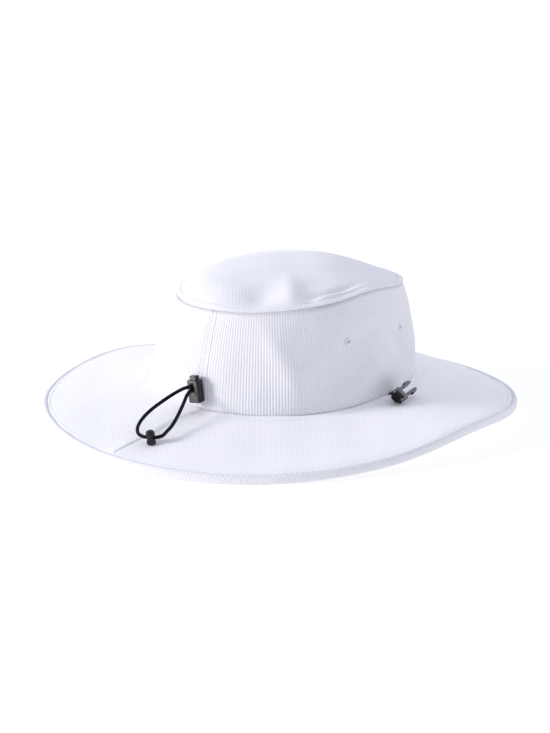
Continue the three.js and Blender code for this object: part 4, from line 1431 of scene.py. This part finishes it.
def lock_matrix():
    out = level_outward(LOCK_ANGLE)
    base = oval_point(LOCK_ANGLE, FIT_GAP + LOCK_DEPTH / 2, seam_height(LOCK_ANGLE) + LOCK_RISE)
    upright = axes_matrix(out.cross(Vector((0, 0, 1))), out, (0, 0, 1), base)
    return upright @ Matrix.Rotation(LOCK_LEAN, 4, "Y")


def strand_window(matrix, above):
    tall = CORD_SPACING + CORD_BORE + above
    turned = Matrix.Translation((0, LOCK_DEPTH, CORD_RISE + above / 2)) @ Matrix.Rotation(math.pi / 2, 4, "X")
    return block_mesh(CORD_BORE, tall, 0, 2 * LOCK_DEPTH, CORD_BORE / 2.2, 0, matrix @ turned)


lock_place = placed_matrix(lock_matrix())
lock_pocket = block_mesh(
    BUTTON_WIDTH + 2 * FIT_GAP, BUTTON_DEPTH + 2 * FIT_GAP,
    BUTTON_SEAT, 2 * LOCK_HEIGHT, BUTTON_ROUNDING, 0, lock_place)
lock_shape = block_mesh(LOCK_WIDTH, LOCK_DEPTH, 0, LOCK_HEIGHT, LOCK_ROUNDING, LOCK_EDGE, lock_place)
# The lock's front and back faces carry the painted reflection.
lock_reflection_facing = lock_place.to_3x3().col[1]
lock_cutters = [lock_pocket, strand_window(lock_place, 0)]
add_moulding("cord_lock_shell", lock_shape, lock_cutters, lock_reflection_facing, "hat", "cord_lock_body")

button_low = BUTTON_SEAT + FIT_GAP + BUTTON_TRAVEL
button_shape = block_mesh(
    BUTTON_WIDTH, BUTTON_DEPTH, button_low, LOCK_HEIGHT + BUTTON_STAND_OUT,
    BUTTON_ROUNDING, BUTTON_EDGE, lock_place)
button_cutters = [strand_window(lock_place, BUTTON_TRAVEL)]
add_moulding(
    "cord_lock_plunger", button_shape, button_cutters, lock_reflection_facing, "lock_button", "cord_lock_button")

# %% [markdown]
# ## Stopper
# A small bell-shaped bead on the cord's loop. It is turned from a profile and drilled
# sideways for the cord.

# %% Stopper
STOPPER_RADIUS, STOPPER_HEIGHT = 0.0031, 0.0094
STOPPER_ANGLE, STOPPER_OUT, STOPPER_TURN = 93.8, 0.0545, math.radians(200)
SLOPE_STEP = 0.05
STOPPER_PROFILE = (
    (0.00, 0.00), (0.50, 0.00), (0.90, 0.01), (1.00, 0.08), (0.93, 0.24), (0.78, 0.44),
    (0.78, 0.56), (0.92, 0.66), (0.96, 0.78), (0.84, 0.91), (0.50, 0.985), (0.00, 1.00),
)


def brim_top(angle, out):
    return Vector(oval_point(angle, out, brim_height(angle, out)))


def stopper_matrix():
    run = SLOPE_STEP * (reach_at(STOPPER_ANGLE) + WALL_THICKNESS)
    inwards = brim_top(STOPPER_ANGLE, STOPPER_OUT - run) - brim_top(STOPPER_ANGLE, STOPPER_OUT + run)
    sideways = brim_top(STOPPER_ANGLE + 2, STOPPER_OUT) - brim_top(STOPPER_ANGLE - 2, STOPPER_OUT)
    up = sideways.cross(inwards).normalized()
    across = up.cross(Vector((math.cos(STOPPER_TURN), math.sin(STOPPER_TURN), 0))).normalized()
    base = brim_top(STOPPER_ANGLE, STOPPER_OUT) + up * REST_GAP
    return axes_matrix(across.cross(up), across, up, base)


stopper_place = placed_matrix(stopper_matrix())
stopper_profile = smooth_path(np.array(STOPPER_PROFILE) * (STOPPER_RADIUS, STOPPER_HEIGHT), 4)
stopper_drill = cylinder_mesh(
    CORD_BORE / 2, 3 * STOPPER_RADIUS, 32,
    stopper_place @ Matrix.Translation((0, 0, STOPPER_HEIGHT / 2)) @ Matrix.Rotation(math.pi / 2, 4, "Y"))
stopper_shape = cut(turned_mesh(stopper_profile, 56, stopper_place), [stopper_drill])
finish_mesh(stopper_shape, black_plastic, PLASTIC_SHARP)
stopper = add_piece("stopper_bead", stopper_shape, "hat", ["cord_stopper"])

# %% [markdown]
# ## Side clips and their tapes
# A two-armed plug hangs from a short tape at each side of the crown, for a chin strap that
# can be clipped on. The arms are springs in one piece with the plug.

# %% Side clips
CLIPS = {"left": (359.5, -1), "right": (180.5, 1)}
CLIP_LENGTH, CLIP_WIDTH, CLIP_THICKNESS = 0.0240, 0.0100, 0.0030
CLIP_BAR, CLIP_SLOT, CLIP_RAIL, CLIP_BODY = 0.0034, 0.0026, 0.0016, 0.0042
CLIP_ARM, CLIP_BARB, CLIP_OUT = 0.0021, 0.0012, 0.0144
CLIP_ROLL, CLIP_PITCH, CLIP_YAW = (math.radians(turn) for turn in (42, 7, 6.5))
CLIP_ROUNDING, CLIP_EDGE, CLIP_TIP_EDGE = 0.0011, 0.0007, 0.00022
CLIP_THIN_FROM, CLIP_THIN_OVER = 0.3, 0.5
CLIP_END = -CLIP_LENGTH / 2
CLIP_SLOT_END = CLIP_END + CLIP_BAR + CLIP_SLOT
CLIP_ARM_START = CLIP_SLOT_END + CLIP_BODY


def clip_matrix(angle, side):
    out = level_outward(angle)
    lift = CLIP_WIDTH / 2 * math.sin(CLIP_ROLL) + CLIP_THICKNESS / 2 * math.cos(CLIP_ROLL)
    lift += CLIP_LENGTH / 2 * math.sin(CLIP_PITCH) + FIT_GAP
    middle = brim_top(angle, CLIP_OUT) + Vector((0, 0, lift))
    level = axes_matrix(Vector((-out.y, out.x, 0)) * side, out * -side, (0, 0, 1), middle)
    turn = Matrix.Rotation(side * CLIP_YAW, 4, "Z") @ Matrix.Rotation(-CLIP_PITCH, 4, "Y")
    return level @ turn @ Matrix.Rotation(side * CLIP_ROLL, 4, "X")


def clip_outline():
    """Half of the plug's outline, from its tape end to an arm's tip, and its mirror image."""
    half, tip = CLIP_WIDTH / 2, CLIP_LENGTH / 2
    inner, arm = half - CLIP_BARB - CLIP_ARM, tip - CLIP_ARM_START
    side = [
        (CLIP_END, half),
        (CLIP_ARM_START - CLIP_ROUNDING, half),
        (CLIP_ARM_START, half - CLIP_BARB),
        (CLIP_ARM_START + arm * 0.45, half - CLIP_BARB),
        (CLIP_ARM_START + arm * 0.55, half),
        (CLIP_ARM_START + arm * 0.80, half - CLIP_BARB / 3),
        (tip, half - CLIP_BARB - CLIP_ARM / 3),
        (tip, half - CLIP_BARB - CLIP_ARM * 2 / 3),
        (CLIP_ARM_START + arm * 0.75, inner),
        (CLIP_ARM_START, inner),
    ]
    mirrored = [(x, -y) for x, y in side]
    return rounded_outline([*mirrored, *side[::-1]], CLIP_ROUNDING)


def clip_meshes(matrix):
    """The plug, and the cutter of its slot."""
    outline = clip_outline()
    to_tip = (outline[:, 0] - CLIP_ARM_START) / (CLIP_LENGTH / 2 - CLIP_ARM_START)
    edge = mix(CLIP_EDGE, CLIP_TIP_EDGE, smooth_step((to_tip - CLIP_THIN_FROM) / CLIP_THIN_OVER))
    plate = raised_mesh(outline, -CLIP_THICKNESS / 2, CLIP_THICKNESS / 2, edge, matrix)
    slot = block_mesh(
        CLIP_SLOT, CLIP_WIDTH - 2 * CLIP_RAIL, -CLIP_THICKNESS, CLIP_THICKNESS, CLIP_SLOT / 4, 0,
        matrix @ Matrix.Translation((CLIP_SLOT_END - CLIP_SLOT / 2, 0, 0)))
    return plate, slot


for side_name, (angle, side) in CLIPS.items():
    clip_place = placed_matrix(clip_matrix(angle, side))
    plug, slot_cutter = clip_meshes(clip_place)
    # The plug's two flat faces carry the painted reflection.
    clip_reflection_facing = clip_place.to_3x3().col[2]
    add_moulding(f"clip_{side_name}_plug", plug, [slot_cutter], clip_reflection_facing, "hat", f"side_clip_{side_name}")

# %% [markdown]
# The tape comes out of the crown's seam, passes under the plug, turns round its bar and
# goes down its slot. A few stations say where its middle is and which way it faces.

# %% Tapes of the clips
TAPE_WIDTH, TAPE_THICKNESS, TAPE_TURN = 0.0056, 0.0009, 3
TAPE_WRAP = (
    (1.05, -1.15), (0.00, -1.10), (-0.82, -0.86), (-1.05, 0.00), (-0.82, 0.86),
    (0.00, 1.05), (0.96, 0.96), (1.12, 0.20), (1.12, -0.25),
)
DIRECTION_SCALE = 0.001
TAPE_SECTION_STEPS = 24


def tape_stations(angle, side):
    """Rows of middle, width direction and face direction along the tape."""
    frame_matrix = clip_matrix(angle, side)
    along, across, face = (frame_matrix.to_3x3().col[i].copy() for i in range(3))
    clear = FIT_GAP + TAPE_THICKNESS / 2
    reach = Vector((CLIP_BAR / 2 + clear, CLIP_THICKNESS / 2 + clear))
    wrap = []
    for i, (bar_along, bar_away) in enumerate(TAPE_WRAP):
        before, after = TAPE_WRAP[max(i - 1, 0)], TAPE_WRAP[min(i + 1, len(TAPE_WRAP) - 1)]
        run = Vector((reach.x * (after[0] - before[0]), reach.y * (after[1] - before[1]))).normalized()
        local = Vector((CLIP_END + CLIP_BAR / 2 + reach.x * bar_along, 0, reach.y * bar_away))
        wrap.append((frame_matrix @ local, -across, along * -run.y + face * run.x))
    seam_angle = angle + side * TAPE_TURN
    rise = Vector((0, 0, REST_GAP + TAPE_THICKNESS / 2))
    start, bend = brim_top(seam_angle, REST_GAP) + rise, brim_top(seam_angle, CLIP_OUT / 3) + rise
    out = level_outward(seam_angle)
    seamwise, down = Vector((-out.y, out.x, 0)) * side, Vector((0, 0, -1))
    half_way = (
        bend.lerp(wrap[0][0], 0.5), (seamwise - across).normalized(), (down + wrap[0][2]).normalized())
    stations = [(start, seamwise, down), (bend, seamwise, down), half_way, *wrap]
    return np.array([
        [*middle, *(DIRECTION_SCALE * width), *(DIRECTION_SCALE * facing)]
        for middle, width, facing in stations])


def tape_mesh(name, stations):
    path = smooth_path(stations, 10)
    turn = np.arange(TAPE_SECTION_STEPS) / TAPE_SECTION_STEPS * 2 * math.pi
    wide = np.sign(np.cos(turn)) * np.abs(np.cos(turn)) ** 0.35 * TAPE_WIDTH / 2
    thick = np.sign(np.sin(turn)) * np.abs(np.sin(turn)) ** 0.5 * TAPE_THICKNESS / 2
    width = path[:, 3:6] / np.linalg.norm(path[:, 3:6], axis=1, keepdims=True)
    facing = path[:, 6:9] / np.linalg.norm(path[:, 6:9], axis=1, keepdims=True)
    rings = path[:, None, :3] + wide[None, :, None] * width[:, None] + thick[None, :, None] * facing[:, None]
    count, size = rings.shape[:2]
    index, _, faces = ring_faces(count, size)
    faces += [index[0, ::-1].tolist(), index[-1].tolist()]
    run = run_along(path[:, :3])
    flat = np.stack(np.broadcast_arrays(wide[None, :], run[:, None]), -1).reshape(-1, 2)
    grain = flat[np.concatenate([np.array(face) for face in faces])]
    return mesh_from(name, rings.reshape(-1, 3), faces, grain)


for side_name, place in CLIPS.items():
    tape = tape_mesh(f"tape_{side_name}", tape_stations(*place))
    finish_mesh(tape, black_tape, TAPE_SHARP)
    add_piece(f"tape_{side_name}_web", tape, "hat", [f"clip_tape_{side_name}"])

# %% [markdown]
# ## Where the cord leaves the lock
# The cord is the only part of the hat that hangs free. The sewn cloth keeps its form. Here
# only the first point of the cord's path in front of the lock is found.

lock_front = cord_path[np.argmax(cord_path[:, 1] > (lock_matrix().translation.y + LOCK_DEPTH / 2))]

# %% [markdown]
# ## Light and ground
# A soft low lamp on the picture's left rakes across the cloth and draws its folds and ribs.
# A weak, wide one on the right, a little behind the hat, lifts the edges there. A pale sky
# gives the shade a little blue, and is brighter behind the hat than behind the camera. The
# floor is plain and pale, and glows a little like a light table, so that the shade under
# the brim stays soft. White stays white with the plain view transform.

# %% Light and ground
SKY_COLOR = (0.85, 0.87, 1.0)
SKY_LEVEL, SKY_TO_BACK, SKY_TO_TOP = 0.67, 0.25, 0.10
LAMPS = {
    "key lamp": {"left": 76, "rise": 17, "spread": 16, "strength": 2.3},
    "edge lamp": {"left": -100, "rise": 25, "spread": 60, "strength": 0.5},
}
LAMP_COLOR = (1.0, 0.97, 0.94)
FLOOR_SIZE, FLOOR_COLOR, FLOOR_GLOW = 14.0, (0.60, 0.60, 0.60), 0.54

world = bpy.data.worlds.new("pale sky")
world.use_nodes = True
sky_tree, sky = world.node_tree, world.node_tree.nodes["Background"]
sky.inputs[0].default_value = (*SKY_COLOR, 1)
toward = add_node(sky_tree, "ShaderNodeTexCoord").outputs["Generated"]
level_back = Vector((view_back.x, view_back.y, 0)).normalized()
tilt = tuple(Vector((0, 0, SKY_TO_TOP)) - level_back * SKY_TO_BACK)
share = add_node(sky_tree, "ShaderNodeVectorMath", [toward, tilt], operation="DOT_PRODUCT").outputs["Value"]
sky_tree.links.new(calculate(sky_tree, "ADD", share, SKY_LEVEL), sky.inputs[1])
bpy.context.scene.world = world

for name, setup in LAMPS.items():
    lamp = new_object(name, bpy.data.lights.new(name, "SUN"))
    lamp.data.energy, lamp.data.color = setup["strength"], LAMP_COLOR
    lamp.data.angle = math.radians(setup["spread"])
    left, rise = math.radians(setup["left"]), math.radians(setup["rise"])
    level = level_back * math.cos(left) - view_right * math.sin(left)
    to_lamp = level * math.cos(rise) + Vector((0, 0, math.sin(rise)))
    lamp.rotation_euler = (-to_lamp).to_track_quat("-Z", "Y").to_euler()

floor_mesh = bpy.data.meshes.new("floor")
corner = FLOOR_SIZE / 2
floor_corners = [(-corner, -corner, 0), (corner, -corner, 0), (corner, corner, 0), (-corner, corner, 0)]
floor_mesh.from_pydata(floor_corners, [], [(0, 1, 2, 3)])
floor_mesh.materials.append(new_material(
    "glowing floor", FLOOR_COLOR, 0.9, Emission_Color=(1, 1, 1, 1), Emission_Strength=FLOOR_GLOW)[0])
floor = new_object("floor", floor_mesh)
bpy.context.scene.view_settings.view_transform = "Standard"
